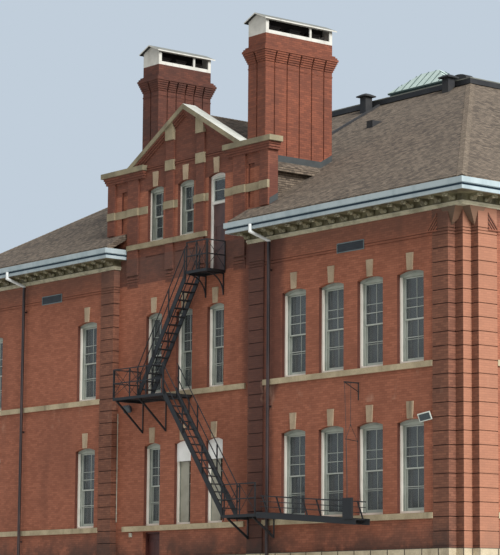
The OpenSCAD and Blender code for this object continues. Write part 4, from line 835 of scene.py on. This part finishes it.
class Shape:
    """Solids gathered into one mesh. Each is given in the axes of the wall or slope that it sits on."""

    def __init__(self):
        self.points = []
        self.faces = []
        self.axes = Matrix()

    def on(self, axes):
        self.axes = axes
        return self

    def layers(self, rings):
        """Closed solid through rings of points that have the same count."""
        first, count = len(self.points), len(rings[0])
        ends = [range(count), range((len(rings) - 1) * count, len(rings) * count)]
        self.points += [self.axes @ Vector(point) for ring in rings for point in ring]
        self.faces += [[first + corner for corner in end] for end in ends]
        for low in range(first, first + (len(rings) - 1) * count, count):
            for corner in range(count):
                after = (corner + 1) % count
                self.faces.append([low + corner, low + after, low + count + after, low + count + corner])

    def prism(self, outline, near, far):
        """Outline given as (along, height), between two depths into the wall."""
        self.layers([[(x, y, z) for x, z in outline] for y in (near, far)])

    def box(self, low, high, splay=0.0):
        """Box whose near face is narrower by splay on each side."""
        (x0, near, z0), (x1, far, z1) = low, high
        rings = []
        for y, cut in ((near, splay), (far, 0.0)):
            left, right, foot, top = x0 + cut, x1 - cut, z0 + cut, z1 - cut
            rings.append([(left, y, foot), (right, y, foot), (right, y, top), (left, y, top)])
        self.layers(rings)

    def boxes(self, near, far, splay, rectangles):
        """Boxes between two depths, each given as (left, low, right, high)."""
        for left, low, right, high in rectangles:
            self.box((left, near, low), (right, far, high), splay)

    def turned(self, profile, place, facing, sides=12):
        """Solid turned about an axis; profile holds (radius, distance along the axis)."""
        turn = Vector(facing).to_track_quat("Z", "Y").to_matrix()
        steps = [math.tau * side / sides for side in range(sides)]
        self.layers([[Vector(place) + turn @ Vector((radius * math.cos(step), radius * math.sin(step), along))
                      for step in steps] for radius, along in profile])

    def rod(self, start, end, radius, sides=8):
        run = Vector(end) - Vector(start)
        self.turned([(radius, 0.0), (radius, run.length)], start, run, sides)

    def piece(self, name, finish, slot, body="building", bevel=0.0):
        mesh = bpy.data.meshes.new(name)
        mesh.from_pydata(self.points, [], self.faces)
        work = bmesh.new()
        work.from_mesh(mesh)
        bmesh.ops.recalc_face_normals(work, faces=work.faces)
        work.to_mesh(mesh)
        work.free()
        made = put_in_scene(name, mesh)
        mesh.materials.append(finish)
        if bevel:
            edge = made.modifiers.new("worn edges", "BEVEL")
            edge.width = bevel
            edge.segments = 2
        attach(made, body)
        return made


def plane(x, y, turn=0.0):
    """Axes of a wall: x runs along it, y into it and z up."""
    return Matrix.Translation((x, y, 0.0)) @ Matrix.Rotation(turn, 4, "Z")


def square(x, y, z, half):
    """Level ring of four corners."""
    return [(x + dx * half, y + dy * half, z) for dx, dy in ((-1, -1), (1, -1), (1, 1), (-1, 1))]


WALLS = {
    "front": plane(0.0, -HALF_D),
    "bay": plane(0.0, BAY_Y),
    "right": plane(HALF_W, 0.0, math.pi / 2),
    "left": plane(-HALF_W, 0.0, -math.pi / 2),
    "back": plane(0.0, HALF_D, math.pi),
}


# Windows

Window = namedtuple("Window", "wall x sill width height")
Opening = namedtuple("Opening", "left right low head")
Sash = namedtuple("Sash", "depth stile bottom top")

UPPER_SASH = Sash(depth=0.248, stile=0.035, bottom=0.045, top=0.035)
LOWER_SASH = Sash(depth=0.292, stile=0.05, bottom=0.10, top=0.045)


def storeys(wall, places, width):
    return [Window(wall, x, sill, width, WINDOW_H) for sill in SILLS for x in places]


FRONT_WINDOWS = storeys("front", WING_WINDOWS + LEFT_WINDOWS, WING_WINDOW_W)
FRONT_WINDOWS += storeys("bay", BAY_WINDOWS, BAY_WINDOW_W)
ATTIC_WINDOWS = [Window("bay", x, ATTIC_SILL, BAY_WINDOW_W, ATTIC_WINDOW_H) for x in BAY_WINDOWS]
SIDE_WALL_WINDOWS = storeys("right", SIDE_WINDOWS, WING_WINDOW_W)
SIDE_WALL_WINDOWS += storeys("left", SIDE_WINDOWS, WING_WINDOW_W)
BACK_WINDOWS = storeys("back", WING_WINDOWS + [-x for x in WING_WINDOWS], WING_WINDOW_W)
BACK_WINDOWS += storeys("back", BAY_WINDOWS, BAY_WINDOW_W)
BOARDED = [window for window in FRONT_WINDOWS
           if window.wall == "bay" and window.sill == SILLS[0] and window.x > BAY_WINDOWS[0]]


def arch_sweep(width):
    """Radius of the shallow arch over a width, and half the angle that it turns through."""
    radius = (width * width / 4 + WINDOW_RISE * WINDOW_RISE) / (2 * WINDOW_RISE)
    return radius, math.asin(width / 2 / radius)


def arch_line(middle, width, spring, steps=10):
    """Points of a window's shallow arch from left to right."""
    radius, half = arch_sweep(width)
    turns = [half * (2 * step / steps - 1) for step in range(steps + 1)]
    return [(middle + radius * math.sin(turn), spring + WINDOW_RISE - radius * (1 - math.cos(turn)))
            for turn in turns]


def clear_opening(window):
    """The space inside a window's frame, up to the straight lower edge of its head board."""
    left = window.x - window.width / 2 + FRAME_WIDTH
    right = window.x + window.width / 2 - FRAME_WIDTH
    head = window.sill + window.height - FRAME_WIDTH - WINDOW_RISE - HEAD_BOARD
    return Opening(left, right, window.sill + FRAME_WIDTH, head)


def hang_sash(shape, opening, low, high, sash):
    """One sash of two by two lights."""
    left, right = opening.left + sash.stile, opening.right - sash.stile
    bottom, top = low + sash.bottom, high - sash.top
    back = sash.depth + SASH_DEPTH
    shape.boxes(sash.depth, back, EASED, ((opening.left, low, left, high), (right, low, opening.right, high),
                                          (left, low, right, bottom), (left, top, right, high)))
    x, z, half = (left + right) / 2, (bottom + top) / 2, SASH_BAR / 2
    bars = ((x - half, bottom, x + half, top),
            (left, z - half, x - half, z + half), (x + half, z - half, right, z + half))
    shape.boxes(sash.depth + BAR_IN, back - BAR_IN, BAR_IN, bars)


def lay_head_board(shape, window, back):
    """Board between the straight head of the sashes and the arch of the frame."""
    opening = clear_opening(window)
    arch = arch_line(window.x, opening.right - opening.left, opening.head + HEAD_BOARD)
    ends = [(x, opening.head) for x in (opening.left, opening.right)]
    shape.prism(ends[:1] + arch + ends[1:], HEAD_BOARD_FRONT, back)


def lay_pane(shape, left, right, low, high, depth):
    pane = (left + PANE_IN, low + PANE_IN, right - PANE_IN, high - PANE_IN)
    shape.boxes(depth - PANE_HALF, depth + PANE_HALF, 0.0, [pane])


def fit_joinery(joinery, lining, panes, window):
    """Linings behind the frame, head board, both sashes and their panes."""
    opening = clear_opening(window)
    left, right, low, head = opening
    half = window.width / 2
    lining.boxes(FRAME_BACK, LINING_BACK, 0.0, (
        (window.x - half, low, left, head + HEAD_BOARD), (right, low, window.x + half, head + HEAD_BOARD),
        (window.x - half, window.sill, window.x + half, low)))
    lay_head_board(lining, window, LINING_BACK)
    middle = low + (head - low) * SASH_SHARE
    hang_sash(joinery, opening, middle - SASH_LAP, head, UPPER_SASH)
    hang_sash(joinery, opening, low, middle + SASH_LAP, LOWER_SASH)
    lay_pane(panes, left, right, middle, head, UPPER_SASH.depth + SASH_DEPTH / 2)
    lay_pane(panes, left, right, low, middle, LOWER_SASH.depth + SASH_DEPTH / 2)


def fit_storm_bars(shape, window):
    """Slim rim and cross rails of the storm window, in front of the sashes."""
    left, right, low, head = clear_opening(window)
    bars = [(x, low, x + STORM_RIM, head) for x in (left, right - STORM_RIM)]
    for share in STORM_BARS:
        z = head - (head - low) * share
        bars.append((left + STORM_RIM, z - STORM_BAR_HALF, right - STORM_RIM, z + STORM_BAR_HALF))
    shape.boxes(*STORM_DEPTH, SLIM_EASED, bars)


def hang_blind(shape, window, chance):
    """Upright blind slats, each turned a little; how far they are drawn differs from window to window."""
    left, right, low, head = clear_opening(window)
    foot, top = low + BLIND_GAP[0], head - BLIND_GAP[1]
    drawn = chance.choice(BLINDS_DRAWN)
    turn = math.radians(chance.uniform(*BLIND_TURNS))
    for slat in range(int((right - left) * drawn / BLIND_PITCH)):
        x = left + BLIND_START + slat * BLIND_PITCH
        lean = turn + math.radians(chance.uniform(-SLAT_SWAY, SLAT_SWAY))
        dx, dy = BLIND_SLAT / 2 * math.cos(lean), BLIND_SLAT / 2 * math.sin(lean)
        bow_x, bow_y = x - dy * BLIND_BOW, dx * BLIND_BOW
        ring = [(x - dx, -dy), (bow_x, bow_y), (x + dx, dy), (bow_x, bow_y + BLIND_T)]
        shape.layers([[(px, BLIND_DEPTH + py, z) for px, py in ring] for z in (foot, top)])
    half, height = BLIND_RAIL
    shape.boxes(BLIND_DEPTH - half, BLIND_DEPTH + half, 0.0, [(left, top, right, head + height)])


def lay_arch(shape, window):
    """Header bricks on edge round a window's head, either side of the keystone."""
    radius, half = arch_sweep(window.width)
    centre = window.sill + window.height - radius
    key = KEYSTONE_HALF / radius
    count = round((half - key) * radius / ARCH_BRICK)
    step = (half - key) / count
    low, high = radius + ARCH_CLEAR, radius + ARCH_DEPTH
    for side in (-1, 1):
        for brick in range(count):
            start, end = key + brick * step + BRICK_JOINT / radius, key + (brick + 1) * step
            corners = ((low, start), (high, start), (high, end), (low, end))
            outline = [(window.x + side * r * math.sin(a), centre + r * math.cos(a)) for r, a in corners]
            shape.prism(outline, *ARCH_FACES)


def fit_fire_sash(joinery, panes, window):
    """Sash over the fire door, one light wide and two high."""
    left, right, low, head = clear_opening(window)._replace(low=FIRE_DOOR_TOP + FRAME_WIDTH)
    lay_head_board(joinery, window, FRAME_BACK)
    front, back = FIRE_SASH_DEPTH
    stile = LOWER_SASH.stile
    joinery.boxes(front, back, EASED, [(x, low, x + stile, head) for x in (left, right - stile)])
    rails = ((low, FIRE_SASH_RAIL), ((low + head - SASH_BAR) / 2, SASH_BAR),
             (head - FIRE_SASH_RAIL, SASH_BAR))
    joinery.boxes(front + FIRE_RAIL_IN, back - FIRE_RAIL_IN, EASED,
                  [(left + stile, z, right - stile, z + height) for z, height in rails])
    lay_pane(panes, left, right, low, head, (front + back) / 2)


def fit_windows():
    gable = Shape()
    sets = {"front": FRONT_WINDOWS + ATTIC_WINDOWS, "side": SIDE_WALL_WINDOWS, "back": BACK_WINDOWS}
    for name, windows in sets.items():
        joinery, lining, storm, panes, blinds, arches = [Shape() for part in range(6)]
        chance = random.Random(len(windows))
        for window in windows:
            for shape in (joinery, lining, storm, panes, blinds, arches, gable):
                shape.on(WALLS[window.wall])
            lay_arch(gable if window in ATTIC_WINDOWS else arches, window)
            if window == ATTIC_WINDOWS[2]:
                fit_fire_sash(joinery, panes, window)
                continue
            fit_joinery(joinery, lining, panes, window)
            if window.sill != ATTIC_SILL:
                fit_storm_bars(storm, window)
                hang_blind(blinds, window, chance)
        joinery.piece(name + "_sashes", SASH, "white_paint")
        lining.piece(name + "_linings", LINING, "white_paint")
        storm.piece(name + "_storm_bars", SASH, "white_paint")
        blinds.piece(name + "_blinds", BLIND, "white_paint")
        arches.piece(name + "_window_arches", BRICK, "brick")
        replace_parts(panes.piece(name + "_panes", GLASS, "glass"), name + "_glass")
    gable.piece("gable_window_arches", GABLE_BRICK, "brick")


def fit_window_boards():
    """White boards over the heads of two lower windows, and pale panels behind the left of their glass."""
    boards, panels = Shape().on(WALLS["bay"]), Shape().on(WALLS["bay"])
    for window in BOARDED:
        left, right, low = clear_opening(window)[:3]
        top = window.sill + window.height
        foot = top - BOARD_DROP
        side, rise = BOARD_CLEAR
        arch = arch_line(window.x, window.width - 2 * side, top - WINDOW_RISE - rise)
        boards.prism([(arch[0][0], foot)] + arch + [(arch[-1][0], foot)], *BOARD_DEPTH)
        panel = (left + EASED, low, left + (right - left) * PANEL_SHARE, foot)
        panels.boxes(*PANEL_DEPTH, THIN_EASED, [panel])
    boards.piece("window_boards", WHITE, "white_paint")
    panels.piece("window_panels", PANEL, "white_paint")


# Brick, eaves and roof ornament

def lay_fan(ribs, ground, x, direction):
    """Half triangle beside a corner pier: slanting ribs that run together, over a dark ground."""
    base, inner = FAN_TOP - FAN_HEIGHT, FAN_IN - PIER_PROUD
    front, face = -PIER_PROUD - FAN_PROUD, -PIER_PROUD - FAN_GROUND
    ground.prism([(x, FAN_TOP), (x, base), (x + direction * FAN_SPREAD, base)], face, inner)
    for rib in range(FAN_RIBS):
        start, end = 1 - rib / FAN_RIBS, 1 - (rib + 0.5) / FAN_RIBS
        ribs.prism([(x, base + FAN_HEIGHT * start), (x + direction * FAN_SPREAD * start, base),
                    (x + direction * FAN_SPREAD * end, base), (x, base + FAN_HEIGHT * end)], front, face)
    reach = x + direction * (FAN_SPREAD + FAN_SILL)
    ribs.prism([(x, base - FAN_SILL), (reach, base - FAN_SILL), (reach, base), (x, base)], front, inner)


def fit_fans():
    ribs, ground = Shape(), Shape()
    for wall, reach in (("front", FAN_FRONT), ("back", FAN_FRONT), ("right", FAN_SIDE), ("left", FAN_SIDE)):
        for side in (-1, 1):
            lay_fan(ribs.on(WALLS[wall]), ground.on(WALLS[wall]), side * reach, -side)
    ribs.piece("corner_fans", BRICK, "brick")
    ground.piece("corner_fan_grounds", DARK_BRICK, "brick")


def bracket_places(first, last):
    count = math.floor((last - first) / BRACKET_PITCH + 1e-6)
    return [first + (last - first) * step / count for step in range(count + 1)]


def fit_bracket_scrolls():
    """Raised scroll ends on both sides of every bracket, and a leaf under its nose."""
    scrolls = Shape()
    bay_end, long_end, short_end = BAY_HALF + BRACKET_BAY_END, HALF_W - BRACKET_END, HALF_D - BRACKET_END
    rows = [("front", side * x) for side in (-1, 1) for x in bracket_places(bay_end, long_end)]
    rows += [(wall, x) for wall in ("right", "left") for x in bracket_places(-short_end, short_end)]
    rows += [("back", x) for x in bracket_places(-long_end, long_end)]
    for wall, x in rows:
        scrolls.on(WALLS[wall])
        for side in (-1, 1):
            for out, down, radius in BRACKET_SCROLLS:
                profile = [(radius * share, along) for share, along in SCROLL_TURNS]
                scrolls.turned(profile, (x + side * BRACKET_HALF, -out, SOFFIT - down), (side, 0, 0), 10)
        leaf = [(x + side * LEAF_HALF, -out, SOFFIT - down)
                for side, (out, down) in ((-1, LEAF_FOOT), (1, LEAF_FOOT), (1, LEAF_NOSE), (-1, LEAF_NOSE))]
        scrolls.layers([leaf, [(px, py + LEAF_T[0], pz + LEAF_T[1]) for px, py, pz in leaf]])
    scrolls.piece("bracket_scrolls", SCROLL, "olive_paint")


def lay_caps(shape, start, end, sides):
    """Cap shingles along a hip or ridge, each lapped by the next one up."""
    start, run = Vector(start), Vector(end) - Vector(start)
    ahead = run.normalized()
    for step in range(int((run.length - CAP_LENGTH) / CAP_PITCH) + 1):
        low = start + ahead * (step * CAP_PITCH)
        high = low + ahead * CAP_LENGTH
        for wing, normal in sides:
            foot = [low, low + wing * CAP_WIDTH, high + wing * CAP_WIDTH, high]
            shape.layers([foot, [point + normal * lift for point, lift in zip(foot, CAP_LIFTS)]])


def fit_ridge_caps():
    caps = Shape()
    lean = math.atan(ROOF_SLOPE)
    for side_x in (-1, 1):
        for side_y in (-1, 1):
            start = Vector((side_x * (HALF_W + GUTTER_IN), side_y * (HALF_D + GUTTER_IN),
                            roof_height(-GUTTER_IN)))
            end = Vector((side_x * DECK_HALF, side_y * (HALF_D - DECK_RUN), roof_height(DECK_RUN)))
            sides = []
            for out in (Vector((side_x, 0, 0)), Vector((0, side_y, 0))):
                normal = out * math.sin(lean) + Vector((0, 0, math.cos(lean)))
                wing = (end - start).normalized().cross(normal).normalized()
                along = Vector((-side_x, -side_y, 0)) + out
                sides.append((wing if wing.dot(along) > 0 else -wing, normal))
            lay_caps(caps, start, end, sides)
    lean = math.atan(GABLE_SLOPE)
    sides = [(Vector((side * math.cos(lean), 0, -math.sin(lean))),
              Vector((side * math.sin(lean), 0, math.cos(lean)))) for side in (-1, 1)]
    lay_caps(caps, (0, GABLE_BACK, GABLE_RIDGE), (0, GABLE_END, GABLE_RIDGE), sides)
    caps.piece("ridge_caps", CAP_SHINGLE, "shingle")


def lay_lead(shape, line, edges, x, out):
    """Strip along a line of (y, z), between two heights over it, on one face of what it seals."""
    low, high = edges
    ring = [(y, z + low) for y, z in line] + [(y, z + high) for y, z in reversed(line)]
    shape.layers([[(px, y, z) for y, z in ring] for px in (x, x + out * LEAD_T)])


def fit_flashing():
    """Lead round the feet of the chimneys and of the gable's side walls."""
    lead = Shape()
    for side, size in CHIMNEYS.items():
        front = max(CHIMNEY_BACK - size[0], GABLE_BACK)
        for x, out in ((CHIMNEY_X[1], 1), (CHIMNEY_X[0], -1)):
            foot = GABLE_RIDGE - GABLE_SLOPE * x
            valley = (foot - GUTTER_TOP) / ROOF_SLOPE - EAVE - HALF_D
            line = [(front, foot), (min(valley, CHIMNEY_BACK), foot)]
            if valley < CHIMNEY_BACK:
                line.append((CHIMNEY_BACK, foot + (CHIMNEY_BACK - valley) * ROOF_SLOPE))
            lay_lead(lead, line, CHIMNEY_LEAD, side * x, side * out)
        line = [(BAY_Y, roof_height(BAY_BACK)), (GABLE_BACK, roof_height(BAY_BACK + GABLE_T))]
        lay_lead(lead, line, GABLE_LEAD, side * GABLE_HALF, side)
    lead.piece("roof_flashing", LEAD, "sheet_metal")


def lay_seam(shape, foot, top, across):
    """Raised seam between two points on a slope."""
    corners = ((-SEAM_HALF, 0.0), (SEAM_HALF, 0.0), (SEAM_HALF, SEAM_RISE), (-SEAM_HALF, SEAM_RISE))
    shape.layers([[Vector(end) + Vector(across) * out + Vector((0, 0, up)) for out, up in corners]
                  for end in (foot, top)])


def fit_skylight():
    """Roof light on the deck: a dark curb under a pale hip with standing seams."""
    place = Matrix.Translation(SKYLIGHT)
    curb, hip, seams = Shape().on(place), Shape().on(place), Shape().on(place)
    length, width, rise = SKYLIGHT_SIZE
    (left, right), (near, far) = SKYLIGHT_RIDGE
    curb.box((SKYLIGHT_CURB, SKYLIGHT_CURB, DECK_TOP - SKYLIGHT[2]),
             (length - SKYLIGHT_CURB, width - SKYLIGHT_CURB, -SKYLIGHT_RIM))
    curb.box((0, 0, -SKYLIGHT_RIM), (length, width, 0))
    curb.piece("skylight_curb", SEAM_EDGE, "sheet_metal")
    feet = ((0, 0), (length, 0), (length, width), (0, width))
    tops = ((left, near), (right, near), (right, far), (left, far))
    rings = ((feet, 0), (feet, HIP_EDGE), (tops, HIP_EDGE + rise))
    hip.layers([[(x, y, z) for x, y in ring] for ring, z in rings])
    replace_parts(hip.piece("skylight_hip", SEAM, "sheet_metal"), "skylight")
    for step in range(1, LONG_SEAMS):
        x = step * length / LONG_SEAMS
        share = min(1.0, x / left, (length - x) / (length - right))
        for edge, ridge in ((0.0, near), (width, far)):
            top = (x, edge + (ridge - edge) * share, HIP_EDGE + rise * share)
            lay_seam(seams, (x, edge, HIP_EDGE), top, (1, 0, 0))
    for step in range(1, END_SEAMS):
        y = step * width / END_SEAMS
        share = min(y / near, (width - y) / near, 1.0)
        for edge, ridge in ((0.0, left), (length, right)):
            top = (edge + (ridge - edge) * share, y, HIP_EDGE + rise * share)
            lay_seam(seams, (edge, y, HIP_EDGE), top, (0, 1, 0))
    seams.piece("skylight_seams", SEAM_EDGE, "sheet_metal")


def fit_roof_vents():
    """Small vent on the front slope, and a low domed hatch on the deck."""
    vents = Shape()
    x, y = SMALL_VENT
    z = roof_height(y + HALF_D)
    foot = square(x, y, z, SMALL_VENT_HALF)
    vents.layers([[(px, py, pz + py - y) for px, py, pz in foot],
                  square(x, y, z + SMALL_VENT_HOOD[0][1], SMALL_VENT_HALF)])
    vents.layers([square(x, y, z + up, half) for half, up in SMALL_VENT_HOOD])
    x, y, z = HATCH
    hood = [(x + HATCH_HALF * math.cos(turn), z + HATCH_RISE * math.sin(turn))
            for turn in (math.pi * step / 10 for step in range(11))]
    hood += [(x - HATCH_HALF, DECK_TOP), (x + HATCH_HALF, DECK_TOP)]
    vents.prism(hood, y, y + HATCH_LENGTH)
    vents.piece("small_roof_vents", DECK, "black_iron")


def fit_flues():
    """Sooty flue tops, and a dark plate inside both chimney caps as painted shade in their openings."""
    flues = Shape()
    for side, (depth, top) in CHIMNEYS.items():
        front = CHIMNEY_BACK - depth
        x = side * sum(CHIMNEY_X) / 2
        for share in FLUE_PLACES:
            flues.layers([square(x, front + depth * share, top + up, half) for half, up in FLUE])
        # Painted shade: a dark plate in the cap's opening
        low, high = SHADE_PLATE_SPAN
        flues.box((x - SHADE_PLATE_HALF, front + SHADE_PLATE_END, top + low),
                  (x + SHADE_PLATE_HALF, CHIMNEY_BACK - SHADE_PLATE_END, top + high))
    flues.piece("flue_tops", SOOT_AND_SHADE, "brick")


# Ironwork and fittings

def lay_grating(shape, width, length, height):
    """Open tread: rim, bars along the tread and three cross bars."""
    right, far = width - GRATING_SIDE, length - GRATING_END
    for x0, y0, x1, y1 in ((0.0, 0.0, GRATING_SIDE, length), (right, 0.0, width, length),
                           (GRATING_SIDE, 0.0, right, GRATING_END), (GRATING_SIDE, far, right, length)):
        shape.box((x0, y0, 0.0), (x1, y1, height))
    for bar in range(1, GRATING_BARS + 1):
        x, half = width * bar / (GRATING_BARS + 1), GRATING_BAR_HALF
        shape.box((x - half, GRATING_END, GRATING_BAR_FOOT), (x + half, far, height))
    for cross in range(1, GRATING_CROSSES + 1):
        y, half = length * cross / (GRATING_CROSSES + 1), GRATING_CROSS_HALF
        shape.box((GRATING_SIDE, y - half, 0.0), (right, y + half, height - GRATING_CROSS_DROP))


def fit_treads():
    for name, (foot, head, y) in FLIGHTS.items():
        treads = Shape()
        count = round((head[1] - foot[1]) / TREAD_RISE)
        for step in range(1, count):
            x, z = [low + (high - low) * step / count for low, high in zip(foot, head)]
            treads.on(Matrix.Translation((x - TREAD_SIZE[0] / 2, y + STRINGER_T, z - TREAD_DROP)))
            lay_grating(treads, *TREAD_SIZE)
        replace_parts(treads.piece(name + "_gratings", IRON, "black_iron"), name)
    treads = Shape()
    stair = Matrix.Translation(HINGE) @ Matrix.Rotation(DROP_REST, 4, "Y")
    level = Matrix.Rotation(-DROP_REST - DROP_SWING, 4, "Y")
    level = level @ Matrix.Translation((-DROP_TREAD_SIZE[0] / 2, 0, -TREAD_DROP))
    for step in range(1, DROP_STEPS):
        treads.on(stair @ Matrix.Translation((step * DROP_LEN / DROP_STEPS, STRINGER_T, 0)) @ level)
        lay_grating(treads, *DROP_TREAD_SIZE)
    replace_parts(treads.piece("drop_treads_gratings", IRON, "black_iron", body="drop_stair"), "drop_treads")


def fit_louvres():
    """Frames and slanting blades of the wall vents."""
    louvres, blades = Shape().on(WALLS["front"]), Shape().on(WALLS["front"])
    for middle in VENT_PLACES:
        left, right = middle - VENT_SIZE[0] / 2, middle + VENT_SIZE[0] / 2
        low, high = VENT_Z, VENT_Z + VENT_SIZE[1]
        x0, z0, x1, z1 = left + VENT_RIM, low + VENT_RIM, right - VENT_RIM, high - VENT_RIM
        rim = ((left, low, right, z0), (left, z1, right, high), (left, z0, x0, z1), (x1, z0, right, z1))
        louvres.boxes(-VENT_PROUD, 0.0, SLIM_EASED, rim)
        blades.boxes(-VENT_BACK, 0.0, 0.0, [(x0, z0, x1, z1)])
        for blade in range(VENT_BLADES):
            z = z0 + VENT_FOOT + blade * (z1 - z0) / VENT_BLADES
            blades.layers([[(x, y, z + up) for y, up in VENT_BLADE] for x in (x0, x1)])
    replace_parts(louvres.piece("wall_louvres", VENT, "sheet_metal"), "wall_fittings")
    blades.piece("wall_louvre_blades", VENT_DARK, "sheet_metal")


def fit_conduit():
    """Thin pipe with three clips, and a small box beside its foot."""
    conduit = Shape().on(WALLS["bay"])
    x, low, high = CONDUIT
    conduit.rod((x, -CONDUIT_OUT, low), (x, -CONDUIT_OUT, high), CONDUIT_R)
    half, proud, tall = CLIP_SIZE
    for z in (low + CLIP_END, (low + high) / 2, high - CLIP_END):
        conduit.boxes(-proud, 0.0, 0.0, [(x - half, z - tall, x + half, z + tall)])
    x, z = OUTLET
    half, proud, tall = OUTLET_SIZE
    conduit.boxes(-proud, 0.0, OUTLET_EASED, [(x - half, z - tall, x + half, z + tall)])
    conduit.piece("wall_conduit", PANEL, "sheet_metal")


def fit_lamps():
    """Floodlight by the right windows and a dark lamp under the landing, on arms from the wall."""
    arms, lenses = Shape(), Shape()
    for number, (x, wall, z, tilt) in enumerate(LAMPS, 1):
        place = Matrix.Translation((x, wall, z))
        arms.on(place)
        arms.box(*LAMP_FOOT, SLIM_EASED)
        arms.rod(LAMP_ROOT, LAMP_KNEE, LAMP_ARM_R[0])
        arms.rod(LAMP_KNEE, LAMP_NECK, LAMP_ARM_R[1])
        arms.turned(LAMP_JOINT, LAMP_JOINT_PLACE, (0, 1, 0))
        axes = place @ Matrix.Translation(LAMP_MIDDLE)
        for angle, axis in ((-tilt, "Z"), (tilt / 2, "Y"), (LAMP_DROOP, "X")):
            axes = axes @ Matrix.Rotation(math.radians(angle), 4, axis)
        lamp = Shape().on(axes)
        lamp.layers([[(-half, y, -tall), (half, y, -tall), (half, y, tall), (-half, y, tall)]
                     for half, tall, y in LAMP_HOUSING])
        finish, slot = (SASH, "white_paint") if tilt else (VENT_DARK, "black_iron")
        lamp.piece("lamp_housing_%d" % number, finish, slot, bevel=LAMP_EASED)
        lenses.on(axes).boxes(*LENS_DEPTH, EASED, [LENS])
    arms.piece("lamp_arms", IRON, "black_iron")
    lenses.piece("lamp_lenses", LENS_GLASS, "glass")


def fit_door():
    """Raised panels, a plate and a knob on the side door."""
    panels, knob = Shape(), Shape()
    left, right = DOOR_SPAN
    middle, half = (left + right) / 2, DOOR_STILE / 2
    for x0, x1 in ((left + DOOR_STILE, middle - half), (middle + half, right - DOOR_STILE)):
        rows = [(x0, low, x1, high) for low, high in DOOR_PANEL_ROWS]
        panels.boxes(*DOOR_PANEL_FACES, DOOR_PANEL_SPLAY, rows)
    panels.piece("side_door_panels", DOOR_RED, "red_paint", body="side_door")
    knob.boxes(*KNOB_PLATE_FACES, THIN_EASED, [KNOB_PLATE])
    knob.turned(KNOB, KNOB_PLACE, (0, -1, 0), 16)
    knob.piece("side_door_knob", BRASS, "sheet_metal", body="side_door")


# Camera, light and surroundings

CAMERA_PLACE = (61.30, -58.03, -0.505)
CAMERA_YAW = math.radians(51.408)
CAMERA_PITCH = math.radians(8.266)
CAMERA_ROLL = math.radians(0.470)
FOCAL_LENGTH = 155.86
SENSOR_HEIGHT = 36.0
CLIP = (0.5, 600.0)
SKY = (193, 206, 219)
FLOOR_RADIUS = 55.0
FLOOR_DROP = 0.002
SUN = 4.1
SUN_RUN = (-0.93, 0.08, -0.62)
SUN_SPREAD = math.radians(34.0)
AMBIENT = 0.63
AMBIENT_COLOUR = (222, 221, 221)


def set_camera():
    data = bpy.data.cameras.new("photo view")
    data.sensor_fit = "VERTICAL"
    data.sensor_height = SENSOR_HEIGHT
    data.lens = FOCAL_LENGTH
    data.clip_start, data.clip_end = CLIP
    camera = put_in_scene("photo view", data)
    ahead = Vector((-math.sin(CAMERA_YAW) * math.cos(CAMERA_PITCH),
                    math.cos(CAMERA_YAW) * math.cos(CAMERA_PITCH), math.sin(CAMERA_PITCH)))
    level = Vector((math.cos(CAMERA_YAW), math.sin(CAMERA_YAW), 0.0))
    upright = level.cross(ahead)
    right = level * math.cos(CAMERA_ROLL) + upright * math.sin(CAMERA_ROLL)
    up = upright * math.cos(CAMERA_ROLL) - level * math.sin(CAMERA_ROLL)
    turn = Matrix((right, up, -ahead)).transposed().to_4x4()
    camera.matrix_world = Matrix.Translation(CAMERA_PLACE) @ turn
    bpy.context.scene.camera = camera


def set_sun():
    sun = bpy.data.lights.new("sun", "SUN")
    sun.energy = SUN
    sun.angle = SUN_SPREAD
    put_in_scene("sun", sun).rotation_euler = Vector(SUN_RUN).to_track_quat("-Z", "Y").to_euler()


def set_world():
    """Even light from all sides; the camera, glass and metal see a pale sky instead."""
    world = bpy.data.worlds.new("soft sky")
    world.use_nodes = True
    bpy.context.scene.world = world
    nodes, link = world.node_tree.nodes, world.node_tree.links.new
    ambient = nodes["Background"]
    ambient.inputs["Color"].default_value = colour_value(AMBIENT_COLOUR)
    ambient.inputs["Strength"].default_value = AMBIENT
    backdrop = nodes.new("ShaderNodeBackground")
    backdrop.inputs["Color"].default_value = colour_value(SKY)
    path = nodes.new("ShaderNodeLightPath").outputs
    seen = path["Is Camera Ray"]
    for ray in ("Is Transmission Ray", "Is Glossy Ray"):
        either = nodes.new("ShaderNodeMath")
        either.operation = "MAXIMUM"
        link(seen, either.inputs[0])
        link(path[ray], either.inputs[1])
        seen = either.outputs[0]
    blend = nodes.new("ShaderNodeMixShader")
    for socket, output in enumerate((seen, ambient.outputs[0], backdrop.outputs[0])):
        link(output, blend.inputs[socket])
    link(blend.outputs[0], nodes["World Output"].inputs["Surface"])


def set_floor():
    mesh = bpy.data.meshes.new("floor")
    work = bmesh.new()
    bmesh.ops.create_circle(work, cap_ends=True, radius=FLOOR_RADIUS, segments=96)
    work.to_mesh(mesh)
    work.free()
    floor = put_in_scene("floor", mesh)
    floor.location.z = -FLOOR_DROP
    finish = Finish("pale floor")
    mesh.materials.append(finish.use(finish.mix(finish.noise(0.3), (196, 196, 192), (208, 208, 204)), 0.9))


bpy.context.scene.view_settings.view_transform = "Standard"
dress_nodes()
fit_windows()
fit_window_boards()
fit_fans()
fit_bracket_scrolls()
fit_ridge_caps()
fit_flashing()
fit_skylight()
fit_roof_vents()
fit_flues()
fit_treads()
fit_louvres()
fit_conduit()
fit_lamps()
fit_door()
set_camera()
set_sun()
set_world()
set_floor()
